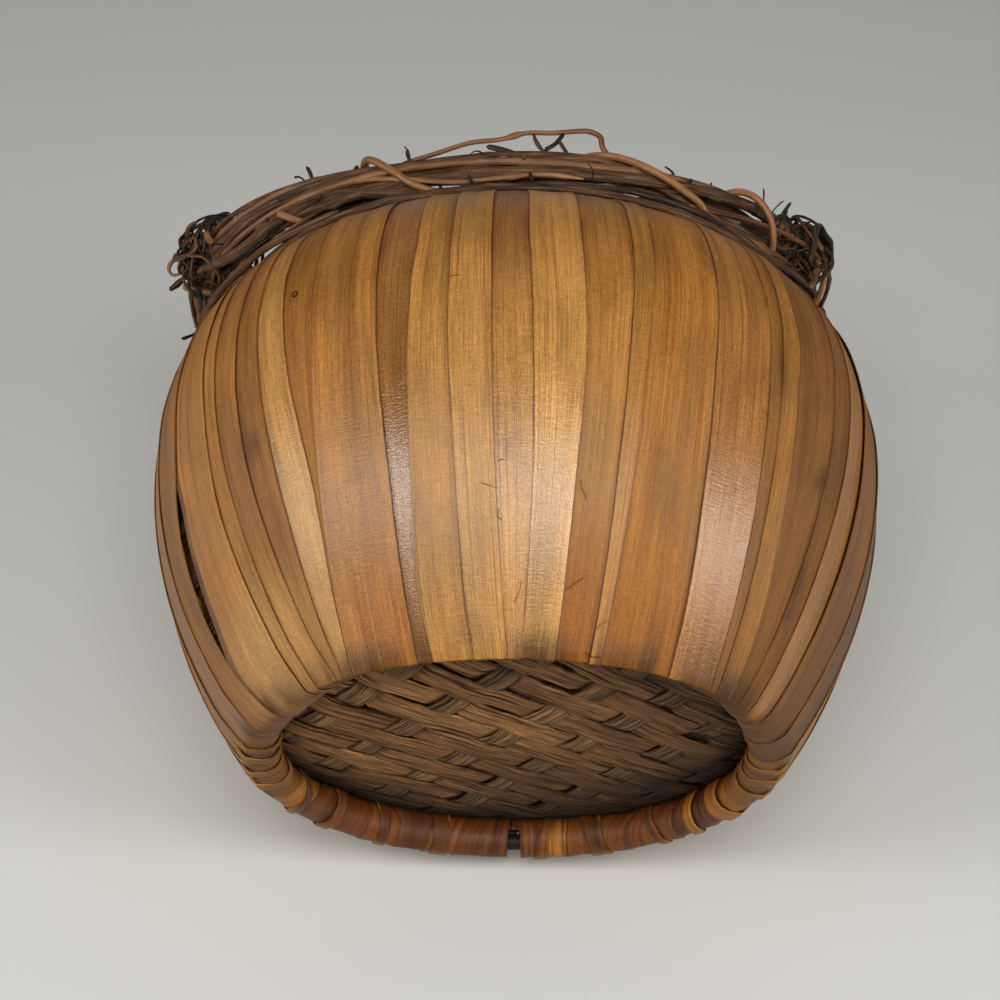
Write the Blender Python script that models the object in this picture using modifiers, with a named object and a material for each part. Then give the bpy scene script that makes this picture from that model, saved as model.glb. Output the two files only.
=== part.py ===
"""Pumpkin basket: a bulging basket of flat wood splits with a plaited base and a vine wreath at its mouth.

The basket stands on its foot ring with +Z up. The side at -Y is its front. All lengths are in metres.
"""

from math import acos, cos, degrees, floor, hypot, pi, radians, sin, sqrt

import bpy
from mathutils import Vector

MM = 0.001

# Driving sizes of the basket
FOOT_RADIUS = 101.6 * MM  # outside of the wrapped foot ring
BULGE_RADIUS = 138.0 * MM  # outside of the wall at its widest
BULGE_HEIGHT = 117.0 * MM
SHOULDER_RISE = 58.5 * MM  # from the widest level to the top of the shoulder's arc
SHOULDER_RUN = 41.2 * MM  # the same arc, measured inwards
SHOULDER_END = radians(72)  # where the arc meets the rim hoop

WALL_SHARES = (0.0, 0.18, 0.4, 0.66)  # levels up to the bulge where the wall's pieces bend
SHOULDER_ANGLES = (0, 26, 50)  # the same on the shoulder's arc, in degrees

# Splits
SPLIT_THICKNESS = 1.0 * MM
GAP = 0.3 * MM  # clearance between neighbouring pieces
OVERLAP_SHARE = 0.12  # share of the narrower split that lies under its neighbour
SAG_ROOM = 0.12 * MM  # extra room because each split is flat across its width
SPLIT_ROUGHNESS = 0.38
SHADE_WAVE = 1.9  # how quickly the wood's shade changes from split to split
SEAM_HEIGHTS = (1 * MM, 16 * MM, 56 * MM, 117 * MM)
# Each seam in front: its angle from the front in degrees at those heights,
# and the side whose split lies on top
FRONT_SEAMS = (
    (-69.0, -72.0, -74.5, -74.0, "left"),
    (-58.6, -62.5, -64.4, -63.5, "left"),
    (-45.6, -48.3, -51.7, -53.9, "left"),
    (-42.4, -44.9, -48.0, -50.5, "left"),
    (-37.6, -39.7, -43.0, -45.4, "left"),
    (-35.6, -36.4, -38.0, -40.8, "left"),
    (-34.0, -33.9, -33.2, -35.8, "left"),
    (-32.4, -32.2, -30.8, -30.5, "right"),
    (-18.9, -19.2, -19.4, -20.5, "left"),
    (-16.0, -16.7, -16.1, -15.4, "right"),
    (-7.8, -8.8, -9.4, -10.0, "right"),
    (-1.7, -2.6, -3.6, -4.2, "left"),
    (0.8, 1.4, 2.0, 1.4, "right"),
    (7.1, 7.5, 8.3, 8.7, "left"),
    (13.6, 14.0, 14.5, 15.7, "right"),
    (15.9, 16.2, 16.8, 18.5, "left"),
    (30.4, 29.8, 28.4, 28.8, "right"),
    (40.6, 39.9, 38.2, 38.3, "right"),
    (42.9, 42.0, 40.6, 40.8, "right"),
    (46.6, 46.2, 44.0, 44.4, "left"),
    (50.6, 50.9, 51.9, 53.9, "right"),
    (54.5, 55.4, 56.4, 59.1, "right"),
    (60.8, 61.7, 62.9, 65.1, "right"),
    (72.0, 73.0, 75.0, 76.5, "right"),
)
# The seams behind, as angles from the front in degrees at the foot ring
BACK_SEAMS = (
    83.0, 93.5, 104.0, 114.5, 124.7, 135.5, 150.0, 165.8, 172.4, 179.2, 184.9,
    194.2, 201.8, 209.0, 218.0, 231.3, 241.0, 251.0, 261.0, 271.0, 281.0,
)
LAST_RIGHT_SEAM = 8  # the seams behind are lapped to the right up to this one, then to the left

# Hoops
FOOT_CORE = 3.2 * MM
RIM_CORE = 3.5 * MM
HOOP_SIDES = 64
FOOT_FLAT_ANGLE = radians(16)  # half of the arc that is pressed flat underneath
FOOT_BENDS = (-5, -3, -1, 1, 2.2)  # bends round the foot hoop, in those half arcs from its lowest point
RIM_BENDS = (98, 133, 168, 203)  # where it bends round the rim hoop, in degrees
FIRST_LEAN = radians(35)  # the search for the wall's lean at the foot starts here
LEAN_STEPS = 30

# Liner and its base
LINER_THICKNESS = 1.2 * MM
LINER_GAP = 0.6 * MM
LINER_SIDES = 44
BASE_CLEARANCE = 0.5 * MM  # between the foot core and the liner above it
FLANGE_WIDTH = 7.0 * MM
FLANGE_HOLD = 0.75  # share of the flange's width that the base strips run into
BASE_STRIP_THICKNESS = 0.9 * MM
BASE_TURN = radians(35.5)  # direction of the close set of strips, from +X
CLOSE_STRIPS = 15
CLOSE_PITCH = 12.5 * MM
CLOSE_WIDTH = 10.4 * MM
WIDE_STRIPS = 6  # the set that crosses them is wider and far apart
WIDE_PITCH = 29.5 * MM
WIDE_WIDTH = 13.2 * MM
WIDE_SHIFT = 6.75 * MM

# Wreath
WREATH_BEYOND_RIM_X = 15.0 * MM  # the wreath is oval, so it rides outside the rim hoop at its sides
WREATH_BEYOND_RIM_Y = -5.0 * MM  # and inside it at the front and back
WREATH_SHIFT = -3.0 * MM  # the wreath sits a little to the left of the basket's axis
WREATH_SADDLE = 5.5 * MM  # how far the sides of the wreath ride above its mean level
BUNDLE_RADIUS = 6.0 * MM
STEM_RADIUS = 2.4 * MM
SECOND_STEM_RISE = 0.4 * MM  # its centre line lies this much further out than the main stem's
SECOND_ROOM = 0.6 * MM  # between the second stem and the strands of the main stem
CORE_START = 1.0  # where the core stem's ends meet, as an angle round the mouth in radians
CORE_OUT = 1.0 * MM
CORE_ROOM = 0.8 * MM  # between the core stem and the main stem round it
LOW_STEM_RADIUS = 2.1 * MM
LOW_STEM_BEYOND_RIM = 11.5 * MM  # the stem that lies on the shoulder
LOW_STEM_START = 2.2  # where its ends meet, in radians
BINDER_RADIUS = 1.5 * MM
STEM_LOOPS = 4
SECOND_STEM_LOOPS = 3
BINDER_TURNS = 12
BINDER_START = radians(21.25)  # brings a turn of the binder under each end of the stray vine
WREATH_SETTLE = 1.6 * MM  # how far the bundle sinks onto the rim between turns of the binder
LOW_STEM_POINTS = 40
LOW_STEM_CLEARANCE = 0.6 * MM
POINTS_PER_LOOP = 24
POINTS_PER_CURL = 9
LEAST_WOUND_GAP = 0.4 * MM

# Curls at the two ends of the wreath
CURL_RADIUS = 1.1 * MM
CURL_FORWARD = 14  # degrees that each curl sits forward of the basket's side
CURL_LOOSENESS = 5.0 * MM
CURL_LEAN = radians(50)

# Loose pieces at the front: degrees along the wreath from the front, and millimetres above the bundle
STRAY_RADIUS = 1.5 * MM
STRAY_SECTION_ANGLE = 75
STRAY_ROUTE = (
    (-20, 1.0), (-15, 0.2), (-9, 4.5), (-3, 6.5), (4, 7.2), (10, 7.0), (14, 3.5), (15, 0.2), (18, 0.6),
)
TWIG_RADIUS = 1.5 * MM
TWIG_SECTION_ANGLE = 67
TWIG_ROUTE = ((-6, 1.2), (-2, 0.3), (1, 0.2), (4, 1.6), (6, 3.2))

# Worked out from the sizes above
SHINGLE_LIFT = (SPLIT_THICKNESS + GAP + SAG_ROOM) / (1 - 2 * OVERLAP_SHARE)
WRAP_BUILD = GAP + SPLIT_THICKNESS + SHINGLE_LIFT
FOOT_TUBE = FOOT_CORE + WRAP_BUILD
FOOT_HOOP_RADIUS = FOOT_RADIUS - FOOT_TUBE
FOOT_HOOP_HEIGHT = FOOT_TUBE * cos(FOOT_FLAT_ANGLE)
WALL_WIDEST = BULGE_RADIUS - SPLIT_THICKNESS - SHINGLE_LIFT / 2

COLLECTION = "pumpkin_basket"
HELPERS = "basket_helpers"


def clear_scene():
    for obj in list(bpy.data.objects):
        bpy.data.objects.remove(obj)


def new_collection(name):
    collection = bpy.data.collections.new(name)
    bpy.context.scene.collection.children.link(collection)
    return collection


def move_to(obj, collection):
    for owner in list(obj.users_collection):
        owner.objects.unlink(obj)
    collection.objects.link(obj)


def make_material(name, colour, roughness):
    material = bpy.data.materials.new(name)
    material.use_nodes = True
    shader = material.node_tree.nodes["Principled BSDF"]
    shader.inputs["Base Color"].default_value = (*colour, 1.0)
    shader.inputs["Roughness"].default_value = roughness
    return material


def smooth(obj, angle):
    for face in obj.data.polygons:
        face.use_smooth = True
    obj.data.set_sharp_from_angle(angle=angle)


# The wall's section, as the inner face of the lowest split


class Station:
    """A point of the section with its outward normal, both in the plane of radius and height."""

    def __init__(self, radius, height, normal_angle, on_foot=False):
        self.radius = radius
        self.height = height
        self.normal = (cos(normal_angle), sin(normal_angle))
        self.on_foot = on_foot

    def raised(self, distance):
        return self.radius + distance * self.normal[0], self.height + distance * self.normal[1]


def arc_station(centre, arc_radius, angle, on_foot=False):
    return Station(centre[0] + arc_radius * cos(angle), centre[1] + arc_radius * sin(angle), angle, on_foot)


def lower_wall_lean():
    """Lean of the wall where it leaves the foot hoop, found by stepping towards a smooth meeting."""
    lean = FIRST_LEAN
    for _ in range(LEAN_STEPS):
        start_radius, start_height = foot_leaving_point(lean)
        slope = 2 * (WALL_WIDEST - start_radius) / (BULGE_HEIGHT - start_height)
        lean = acos(1 / hypot(1, slope))
    return lean


def foot_leaving_point(lean):
    path = FOOT_CORE + GAP
    return FOOT_HOOP_RADIUS + path * cos(lean), FOOT_HOOP_HEIGHT - path * sin(lean)


FOOT_LEAN = lower_wall_lean()
WALL_START = foot_leaving_point(FOOT_LEAN)
SHOULDER_CENTRE = WALL_WIDEST - SHOULDER_RUN


def lower_wall_station(share):
    """The wall from the foot up to the bulge is a parabola; share runs from 0 to 1 by height."""
    start_radius, start_height = WALL_START
    rise = BULGE_HEIGHT - start_height
    radius = WALL_WIDEST - (WALL_WIDEST - start_radius) * (1 - share) ** 2
    slope = 2 * (WALL_WIDEST - start_radius) * (1 - share) / rise
    return Station(radius, start_height + share * rise, -acos(1 / hypot(1, slope)))


def shoulder_station(angle):
    radius = SHOULDER_CENTRE + SHOULDER_RUN * cos(angle)
    height = BULGE_HEIGHT + SHOULDER_RISE * sin(angle)
    steepness = hypot(cos(angle) / SHOULDER_RUN, sin(angle) / SHOULDER_RISE)
    return Station(radius, height, acos(cos(angle) / SHOULDER_RUN / steepness))


def rim_hoop_centre():
    end = shoulder_station(SHOULDER_END)
    return end.raised(-(RIM_CORE + GAP))


RIM_HOOP_RADIUS, RIM_HOOP_HEIGHT = rim_hoop_centre()
SPLIT_TOP = RIM_HOOP_HEIGHT + RIM_CORE + WRAP_BUILD


def split_stations():
    """From the tuck inside the foot hoop, round it, up the wall and over the rim hoop."""
    foot = (FOOT_HOOP_RADIUS, FOOT_HOOP_HEIGHT)
    rim = (RIM_HOOP_RADIUS, RIM_HOOP_HEIGHT)
    down = radians(270)
    stations = []
    for bend in FOOT_BENDS:
        stations.append(arc_station(foot, FOOT_CORE + GAP, down + bend * FOOT_FLAT_ANGLE, True))
    stations += [lower_wall_station(share) for share in WALL_SHARES]
    stations += [shoulder_station(radians(angle)) for angle in SHOULDER_ANGLES]
    stations.append(shoulder_station(SHOULDER_END))
    stations += [arc_station(rim, RIM_CORE + GAP, radians(angle)) for angle in RIM_BENDS]
    return stations


def split_seams():
    """Seams all round the basket. Those behind show at the foot ring, and keep their shares further up."""
    seams = list(FRONT_SEAMS)
    first, last = FRONT_SEAMS[-1], turned(FRONT_SEAMS[0], 360)
    for index, foot_angle in enumerate(BACK_SEAMS):
        share = (foot_angle - first[0]) / (last[0] - first[0])
        angles = [low + share * (high - low) for low, high in zip(first[:-1], last[:-1])]
        seams.append((*angles, "right" if index < LAST_RIGHT_SEAM else "left"))
    return seams


def seam_angle(seam, height):
    """A seam's angle from the front in degrees, at a height."""
    place = min(max(height, SEAM_HEIGHTS[0]), SEAM_HEIGHTS[-1])
    for low, high, below, above in zip(SEAM_HEIGHTS, SEAM_HEIGHTS[1:], seam, seam[1:]):
        if place <= high:
            return below + (above - below) * (place - low) / (high - low)


def around(radius, height, from_front):
    """A point at an angle in degrees from the front, which is at -Y; the angle grows towards +X."""
    angle = radians(from_front - 90)
    return Vector((radius * cos(angle), radius * sin(angle), height))


def ribbon(name, rows, thickness, columns):
    """A strip from rows of points on its outer face, thickened inwards."""
    bpy.ops.mesh.primitive_grid_add(x_subdivisions=columns - 1, y_subdivisions=len(rows) - 1, size=1)
    obj = bpy.context.object
    obj.name = name
    obj.data.name = name
    for index, vertex in enumerate(obj.data.vertices):
        vertex.co = rows[index // columns][index % columns]
    thicken = obj.modifiers.new("thickness", "SOLIDIFY")
    thicken.thickness = thickness
    thicken.offset = -1
    return obj


def split_edges(around_split, height):
    """Left and right edges of a split in degrees at a height, with its tucks under the splits on top."""
    before, left, right, after = (seam_angle(seam, height) for seam in around_split)
    left_tuck = OVERLAP_SHARE * min(right - left, left - before)
    right_tuck = OVERLAP_SHARE * min(right - left, after - right)
    if around_split[1][-1] == "left":
        left -= left_tuck
    if around_split[2][-1] == "right":
        right += right_tuck
    return left, right


def build_split(number, around_split, stations, collection, material):
    """One split. An edge that a neighbour covers lies low, and an edge on top of a neighbour is lifted."""
    left_lift = 0 if around_split[1][-1] == "left" else 1
    right_lift = 0 if around_split[2][-1] == "right" else 1
    rows = []
    for station in stations:
        if station.on_foot:
            middle_lift = max(left_lift, right_lift)
        else:
            middle_lift = (left_lift + right_lift) / 2
        left, right = split_edges(around_split, station.height)
        row = []
        for angle, lift in zip((left, (left + right) / 2, right), (left_lift, middle_lift, right_lift)):
            radius, height = station.raised(SPLIT_THICKNESS + lift * SHINGLE_LIFT)
            row.append(around(radius, height, angle))
        rows.append(row)
    obj = ribbon(f"wall_split_{number:02d}", rows, SPLIT_THICKNESS, 3)
    move_to(obj, collection)
    obj.data.materials.append(material)
    smooth(obj, radians(40))


def turned(seam, degrees_round):
    """The same seam counted a whole turn on or back."""
    return (*[angle + degrees_round for angle in seam[:-1]], seam[-1])


def build_splits(collection):
    stations = split_stations()
    seams = split_seams()
    count = len(seams)
    closed = [turned(seams[-1], -360)] + seams + [turned(seams[0], 360), turned(seams[1], 360)]
    for index in range(count):
        shade = 0.5 + 0.5 * sin(SHADE_WAVE * index)
        colour = (0.40 + 0.10 * shade, 0.19 + 0.07 * shade, 0.065 + 0.035 * shade)
        material = make_material(f"split_wood_{index + 1:02d}", colour, SPLIT_ROUGHNESS)
        build_split(index + 1, closed[index:index + 4], stations, collection, material)
    return count


# Hoops


def build_hoop(name, radius, height, core, collection, material):
    bpy.ops.mesh.primitive_torus_add(
        major_radius=radius, minor_radius=core, major_segments=HOOP_SIDES, minor_segments=6,
        location=(0, 0, height))
    obj = bpy.context.object
    obj.name = name
    move_to(obj, collection)
    obj.data.materials.append(material)
    smooth(obj, radians(60))


# Liner


def liner_section():
    """Closed outline of the liner in radius and height, with a flange that the base strips run into."""
    base = FOOT_HOOP_HEIGHT + FOOT_CORE + BASE_CLEARANCE
    flange_height = 2 * BASE_STRIP_THICKNESS + 3 * GAP
    wall = [lower_wall_station(share) for share in WALL_SHARES[1:]]
    wall += [shoulder_station(radians(angle)) for angle in SHOULDER_ANGLES[:-1]]
    outer = [station.raised(-LINER_GAP) for station in wall]
    inner = [station.raised(-LINER_GAP - LINER_THICKNESS) for station in wall]
    low_radius, low_height = lower_wall_station(0).raised(-LINER_GAP)
    share = (base - low_height) / (outer[0][1] - low_height)
    corner_radius = low_radius + share * (outer[0][0] - low_radius)
    corner_radius -= GAP
    outer.insert(0, (corner_radius, base))
    flange_inner = corner_radius - FLANGE_WIDTH
    flange = [(flange_inner, base), (flange_inner, base + flange_height)]
    inner_corner = (corner_radius - LINER_THICKNESS, base + flange_height)
    outline = list(reversed(outer)) + flange + [inner_corner] + inner
    return outline, flange_inner, base + flange_height / 2


def lathe(name, outline, sides):
    mesh = bpy.data.meshes.new(name)
    corners = [(radius, 0, height) for radius, height in outline]
    edges = [(index, (index + 1) % len(corners)) for index in range(len(corners))]
    mesh.from_pydata(corners, edges, [])
    obj = bpy.data.objects.new(name, mesh)
    screw = obj.modifiers.new("turn", "SCREW")
    screw.steps = sides
    screw.render_steps = sides
    screw.use_merge_vertices = True
    screw.merge_threshold = 0.0001
    screw.use_normal_calculate = True
    return obj


CLOSE_OFFSETS = [(index - (CLOSE_STRIPS - 1) / 2) * CLOSE_PITCH for index in range(CLOSE_STRIPS)]
WIDE_OFFSETS = [(index - (WIDE_STRIPS - 1) / 2) * WIDE_PITCH + WIDE_SHIFT for index in range(WIDE_STRIPS)]


def base_strip_rows(index, is_close, reach, height):
    """Rows across one base strip, level at each crossing and sloping only between the strips it crosses.

    The strips go over one and under one. A close strip lies on top where the indices add up to odd.
    """
    if is_close:
        offset, half_width = CLOSE_OFFSETS[index], CLOSE_WIDTH / 2
        crossed, crossed_half_width = WIDE_OFFSETS, WIDE_WIDTH / 2
        top_parity = 1
    else:
        offset, half_width = WIDE_OFFSETS[index], WIDE_WIDTH / 2
        crossed, crossed_half_width = CLOSE_OFFSETS, CLOSE_WIDTH / 2
        top_parity = 0
    half_length = sqrt(reach ** 2 - (abs(offset) + half_width) ** 2)
    level_step = (BASE_STRIP_THICKNESS + GAP) / 2
    along_and_level = []
    for other, along in enumerate(crossed):
        if not is_close:
            along = -along
        if abs(along) + crossed_half_width > half_length - GAP:
            continue
        level = 1 if (index + other) % 2 == top_parity else -1
        along_and_level += [(along - crossed_half_width, level), (along + crossed_half_width, level)]
    along_and_level.sort()
    first_level = along_and_level[0][1]
    last_level = along_and_level[-1][1]
    along_and_level = [(-half_length, first_level)] + along_and_level + [(half_length, last_level)]
    kept = [along_and_level[0]]
    for before, here, after in zip(along_and_level, along_and_level[1:], along_and_level[2:]):
        if not before[1] == here[1] == after[1]:
            kept.append(here)
    kept.append(along_and_level[-1])
    turn = BASE_TURN if is_close else BASE_TURN - pi / 2
    forward = Vector((cos(turn), sin(turn), 0))
    sideways = Vector((-sin(turn), cos(turn), 0))
    rows = []
    for along, level in kept:
        top = height + level * level_step + BASE_STRIP_THICKNESS / 2
        centre = forward * along + sideways * offset + Vector((0, 0, top))
        rows.append([centre + sideways * half_width, centre - sideways * half_width])
    return rows


def build_liner(collection, helpers, material):
    outline, flange_inner, weave_height = liner_section()
    shell = lathe("woven_liner", outline, LINER_SIDES)
    collection.objects.link(shell)
    reach = flange_inner + FLANGE_HOLD * FLANGE_WIDTH
    for kind, offsets in (("close", CLOSE_OFFSETS), ("wide", WIDE_OFFSETS)):
        for index in range(len(offsets)):
            rows = base_strip_rows(index, kind == "close", reach, weave_height)
            strip = ribbon(f"base_{kind}_{index + 1:02d}", rows, BASE_STRIP_THICKNESS, 2)
            move_to(strip, helpers)
            strip.hide_render = True
            strip.display_type = "WIRE"
    join = shell.modifiers.new("base", "BOOLEAN")
    join.operation = "UNION"
    join.operand_type = "COLLECTION"
    join.collection = helpers
    join.solver = "EXACT"
    shell.data.materials.append(material)


# Wreath


WREATH_RADIUS_X = RIM_HOOP_RADIUS + WREATH_BEYOND_RIM_X
WREATH_RADIUS_Y = RIM_HOOP_RADIUS + WREATH_BEYOND_RIM_Y
LOW_STEM_AT = RIM_HOOP_RADIUS + LOW_STEM_BEYOND_RIM
SECOND_STEM_RADIUS = 2 * BUNDLE_RADIUS * sin(pi / (2 * STEM_LOOPS)) - STEM_RADIUS - SECOND_ROOM
CORE_STEM_RADIUS = BUNDLE_RADIUS - STEM_RADIUS - CORE_OUT - CORE_ROOM
BINDER_OUT = (BUNDLE_RADIUS + STEM_RADIUS + 2 * GAP + BINDER_RADIUS) / cos(pi / POINTS_PER_CURL)
WREATH_HEIGHT = SPLIT_TOP + GAP + BINDER_OUT + BINDER_RADIUS + WREATH_SADDLE - WREATH_SETTLE


def section_point(turn, out, bundle_angle):
    outward = Vector((cos(turn), sin(turn), 0))
    centre = Vector((WREATH_RADIUS_X * cos(turn) + WREATH_SHIFT, WREATH_RADIUS_Y * sin(turn), WREATH_HEIGHT))
    centre.z += WREATH_SADDLE * cos(2 * turn)
    return centre + out * (cos(bundle_angle) * outward + sin(bundle_angle) * Vector((0, 0, 1)))


def wreath_point(turn, out, bundle_angle):
    """A point of the wreath: turn runs round the mouth from +X, the rest is a place in the bundle's section.

    The wreath bends only at its stations, so that every stem follows the same line between them.
    """
    step = 2 * pi / POINTS_PER_LOOP
    station = floor(turn / step)
    share = turn / step - station
    here = section_point(station * step, out, bundle_angle)
    onward = section_point((station + 1) * step, out, bundle_angle)
    return here.lerp(onward, share)


def least_gap_to_itself(points, loop_points, tube_radius):
    """Least gap from the tube's centre line to itself, leaving out points less than half a loop apart."""
    least = None
    for first in range(len(points)):
        for second in range(first + loop_points // 2, len(points)):
            distance = (points[first] - points[second]).length
            if least is None or distance < least:
                least = distance
    return least - 2 * tube_radius


def tube(name, points, radius, collection, material):
    curve = bpy.data.curves.new(name, "CURVE")
    curve.dimensions = "3D"
    curve.bevel_depth = radius
    curve.bevel_resolution = 1
    curve.use_fill_caps = True
    spline = curve.splines.new("POLY")
    spline.points.add(len(points) - 1)
    for target, point in zip(spline.points, points):
        target.co = (*point, 1)
    obj = bpy.data.objects.new(name, curve)
    collection.objects.link(obj)
    curve.materials.append(material)
    return obj


def wound_stem_points(loops, out, start_angle):
    """Points of a stem that runs several times round the mouth, each time in its own place in the bundle."""
    twist = 1 + 1 / STEM_LOOPS
    points = []
    for index in range(loops * POINTS_PER_LOOP - 1):
        turn = 2 * pi * index / POINTS_PER_LOOP
        points.append(wreath_point(turn, out, start_angle + twist * turn))
    return points


def build_stems(collection, material):
    """The main stem winds four times round. The second, thinner one lies between its strands."""
    main = wound_stem_points(STEM_LOOPS, BUNDLE_RADIUS, 0)
    tube("vine_main_stem", main, STEM_RADIUS, collection, material)
    report_gap("vine_main_stem", main, POINTS_PER_LOOP, STEM_RADIUS)
    second = wound_stem_points(SECOND_STEM_LOOPS, BUNDLE_RADIUS + SECOND_STEM_RISE, pi / STEM_LOOPS)
    tube("vine_second_stem", second, SECOND_STEM_RADIUS, collection, material)
    report_gap("vine_second_stem", second, POINTS_PER_LOOP, SECOND_STEM_RADIUS)
    core = []
    for index in range(POINTS_PER_LOOP - 1):
        turn = CORE_START + 2 * pi * index / POINTS_PER_LOOP
        core.append(wreath_point(turn, CORE_OUT, 2 * turn))
    tube("vine_core_stem", core, CORE_STEM_RADIUS, collection, material)


def shoulder_height(radius):
    """Height of the splits' outer face on the shoulder at a distance from the axis."""
    angle = acos((radius - SPLIT_THICKNESS - SHINGLE_LIFT / 2 - SHOULDER_CENTRE) / SHOULDER_RUN)
    station = shoulder_station(angle)
    return station.raised(SPLIT_THICKNESS + SHINGLE_LIFT)[1]


def build_low_stem(collection, material):
    """A stem that lies on the shoulder beside the bundle, once round."""
    points = []
    height = shoulder_height(LOW_STEM_AT) + LOW_STEM_RADIUS + LOW_STEM_CLEARANCE
    for index in range(LOW_STEM_POINTS):
        turn = LOW_STEM_START + 2 * pi * index / LOW_STEM_POINTS
        points.append(Vector((LOW_STEM_AT * cos(turn), LOW_STEM_AT * sin(turn), height)))
    tube("vine_low_stem", points, LOW_STEM_RADIUS, collection, material)


def report_gap(name, points, loop_points, tube_radius):
    gap = least_gap_to_itself(points, loop_points, tube_radius)
    print(f"{name}: least gap to itself {gap / MM:.2f} mm")
    if gap < LEAST_WOUND_GAP:
        raise ValueError(f"{name} comes within {gap / MM:.2f} mm of itself")


def build_binder(collection, material):
    """The lighter vine that spirals round the whole bundle."""
    steps = BINDER_TURNS * POINTS_PER_CURL
    points = []
    for index in range(steps - 4):
        share = index / steps
        round_bundle = -2 * pi * BINDER_TURNS * share
        points.append(wreath_point(BINDER_START + 2 * pi * share, BINDER_OUT, round_bundle))
    tube("vine_binder", points, BINDER_RADIUS, collection, material)
    report_gap("vine_binder", points, POINTS_PER_CURL, BINDER_RADIUS)


def build_curl(name, middle, turns, spread, start, collection, material):
    """A thin vine curled round the end of the wreath, each loop looser on its upper outer side."""
    steps = turns * (POINTS_PER_CURL + 1)
    close = BINDER_OUT + BINDER_RADIUS + CURL_RADIUS
    points = []
    for index in range(steps + 1):
        share = index / steps
        angle = start + 2 * pi * turns * share
        loose = CURL_LOOSENESS * sin(pi * share) * (1 + cos(angle - CURL_LEAN)) / 2
        points.append(wreath_point(middle + spread * (share - 0.5), close + loose, angle))
    tube(name, points, CURL_RADIUS, collection, material)
    report_gap(name, points, POINTS_PER_CURL + 1, CURL_RADIUS)


def build_curls(collection, material):
    build_curl("vine_curl_left", radians(180 + CURL_FORWARD), 5, radians(26), 0.3, collection, material)
    build_curl("vine_curl_right", radians(-CURL_FORWARD), 4, radians(22), 1.2, collection, material)


def build_loose_pieces(collection, material):
    """The stray vine that arches over the front of the bundle, and a dead twig resting beside it."""
    clear = BINDER_OUT + BINDER_RADIUS + GAP + STRAY_RADIUS
    arch = []
    for along, rise in STRAY_ROUTE:
        arch.append(wreath_point(radians(along - 90), clear + rise * MM, radians(STRAY_SECTION_ANGLE)))
    tube("vine_stray", arch, STRAY_RADIUS, collection, material)
    clear = BUNDLE_RADIUS + STEM_RADIUS + GAP + TWIG_RADIUS
    twig = []
    for along, rise in TWIG_ROUTE:
        twig.append(wreath_point(radians(along - 90), clear + rise * MM, radians(TWIG_SECTION_ANGLE)))
    tube("vine_twig", twig, TWIG_RADIUS, collection, material)


def main():
    clear_scene()
    collection = new_collection(COLLECTION)
    helpers = new_collection(HELPERS)
    hoop_wood = make_material("hoop_wood", (0.05, 0.03, 0.02), 0.45)
    liner_wood = make_material("liner_wood", (0.19, 0.12, 0.07), 0.75)
    vine_bark = make_material("vine_bark", (0.09, 0.045, 0.025), 0.7)
    binder_bark = make_material("binder_bark", (0.25, 0.12, 0.05), 0.6)
    splits = build_splits(collection)
    build_hoop("foot_hoop", FOOT_HOOP_RADIUS, FOOT_HOOP_HEIGHT, FOOT_CORE, collection, hoop_wood)
    build_hoop("rim_hoop", RIM_HOOP_RADIUS, RIM_HOOP_HEIGHT, RIM_CORE, collection, hoop_wood)
    build_liner(collection, helpers, liner_wood)
    build_stems(collection, vine_bark)
    build_low_stem(collection, vine_bark)
    build_binder(collection, binder_bark)
    build_curls(collection, vine_bark)
    build_loose_pieces(collection, vine_bark)
    print(f"{splits} splits, foot hoop centre {FOOT_HOOP_RADIUS / MM:.2f}, {FOOT_HOOP_HEIGHT / MM:.2f} mm")
    print(f"rim hoop centre {RIM_HOOP_RADIUS / MM:.2f}, {RIM_HOOP_HEIGHT / MM:.2f} mm")
    print(f"splits up to {SPLIT_TOP / MM:.2f} mm")
    print(f"lean at the foot {degrees(FOOT_LEAN):.1f} degrees")


main()
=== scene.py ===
"""Pumpkin basket: flat wood splits round a plaited liner, with a vine wreath round the mouth."""

from math import acos, atan2, cos, exp, floor, hypot, pi, radians, sin, sqrt, tau
from random import Random

import bpy
from mathutils import Matrix, Vector, noise


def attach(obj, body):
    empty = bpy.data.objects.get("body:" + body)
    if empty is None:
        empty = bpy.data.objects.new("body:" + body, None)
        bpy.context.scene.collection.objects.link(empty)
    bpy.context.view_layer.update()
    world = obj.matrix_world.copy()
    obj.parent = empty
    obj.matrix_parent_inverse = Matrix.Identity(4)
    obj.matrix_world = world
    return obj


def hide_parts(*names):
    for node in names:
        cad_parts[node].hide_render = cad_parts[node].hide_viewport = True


MM = 0.001
GREY_STEP = 0.04045  # below this the screen's tone curve is a straight line

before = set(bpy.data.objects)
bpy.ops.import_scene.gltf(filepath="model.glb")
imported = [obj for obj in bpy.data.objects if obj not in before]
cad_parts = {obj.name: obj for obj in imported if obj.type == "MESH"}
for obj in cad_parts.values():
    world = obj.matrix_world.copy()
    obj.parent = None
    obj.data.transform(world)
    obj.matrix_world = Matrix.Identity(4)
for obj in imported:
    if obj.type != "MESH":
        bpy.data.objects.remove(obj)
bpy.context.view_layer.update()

# Section of the wall
FOOT_CORE_AT = (95.23 * MM, 6.12 * MM)
RIM_CORE_AT = (106.01 * MM, 169.19 * MM)
FOOT_CORE = 3.2 * MM
RIM_CORE = 3.5 * MM
GAP = 0.3 * MM
WALL_START = (98.14 * MM, 4.17 * MM)
WIDEST = 136.07 * MM
BULGE_HEIGHT = 117 * MM
SHOULDER_RUN = 41.2 * MM
SHOULDER_RISE = 58.5 * MM
SHOULDER_CENTRE = WIDEST - SHOULDER_RUN
SHOULDER_SWELL = 1.8 * MM
RIM_WRAP = (82, 98, 115, 133, 150, 168, 186, 203)

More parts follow.
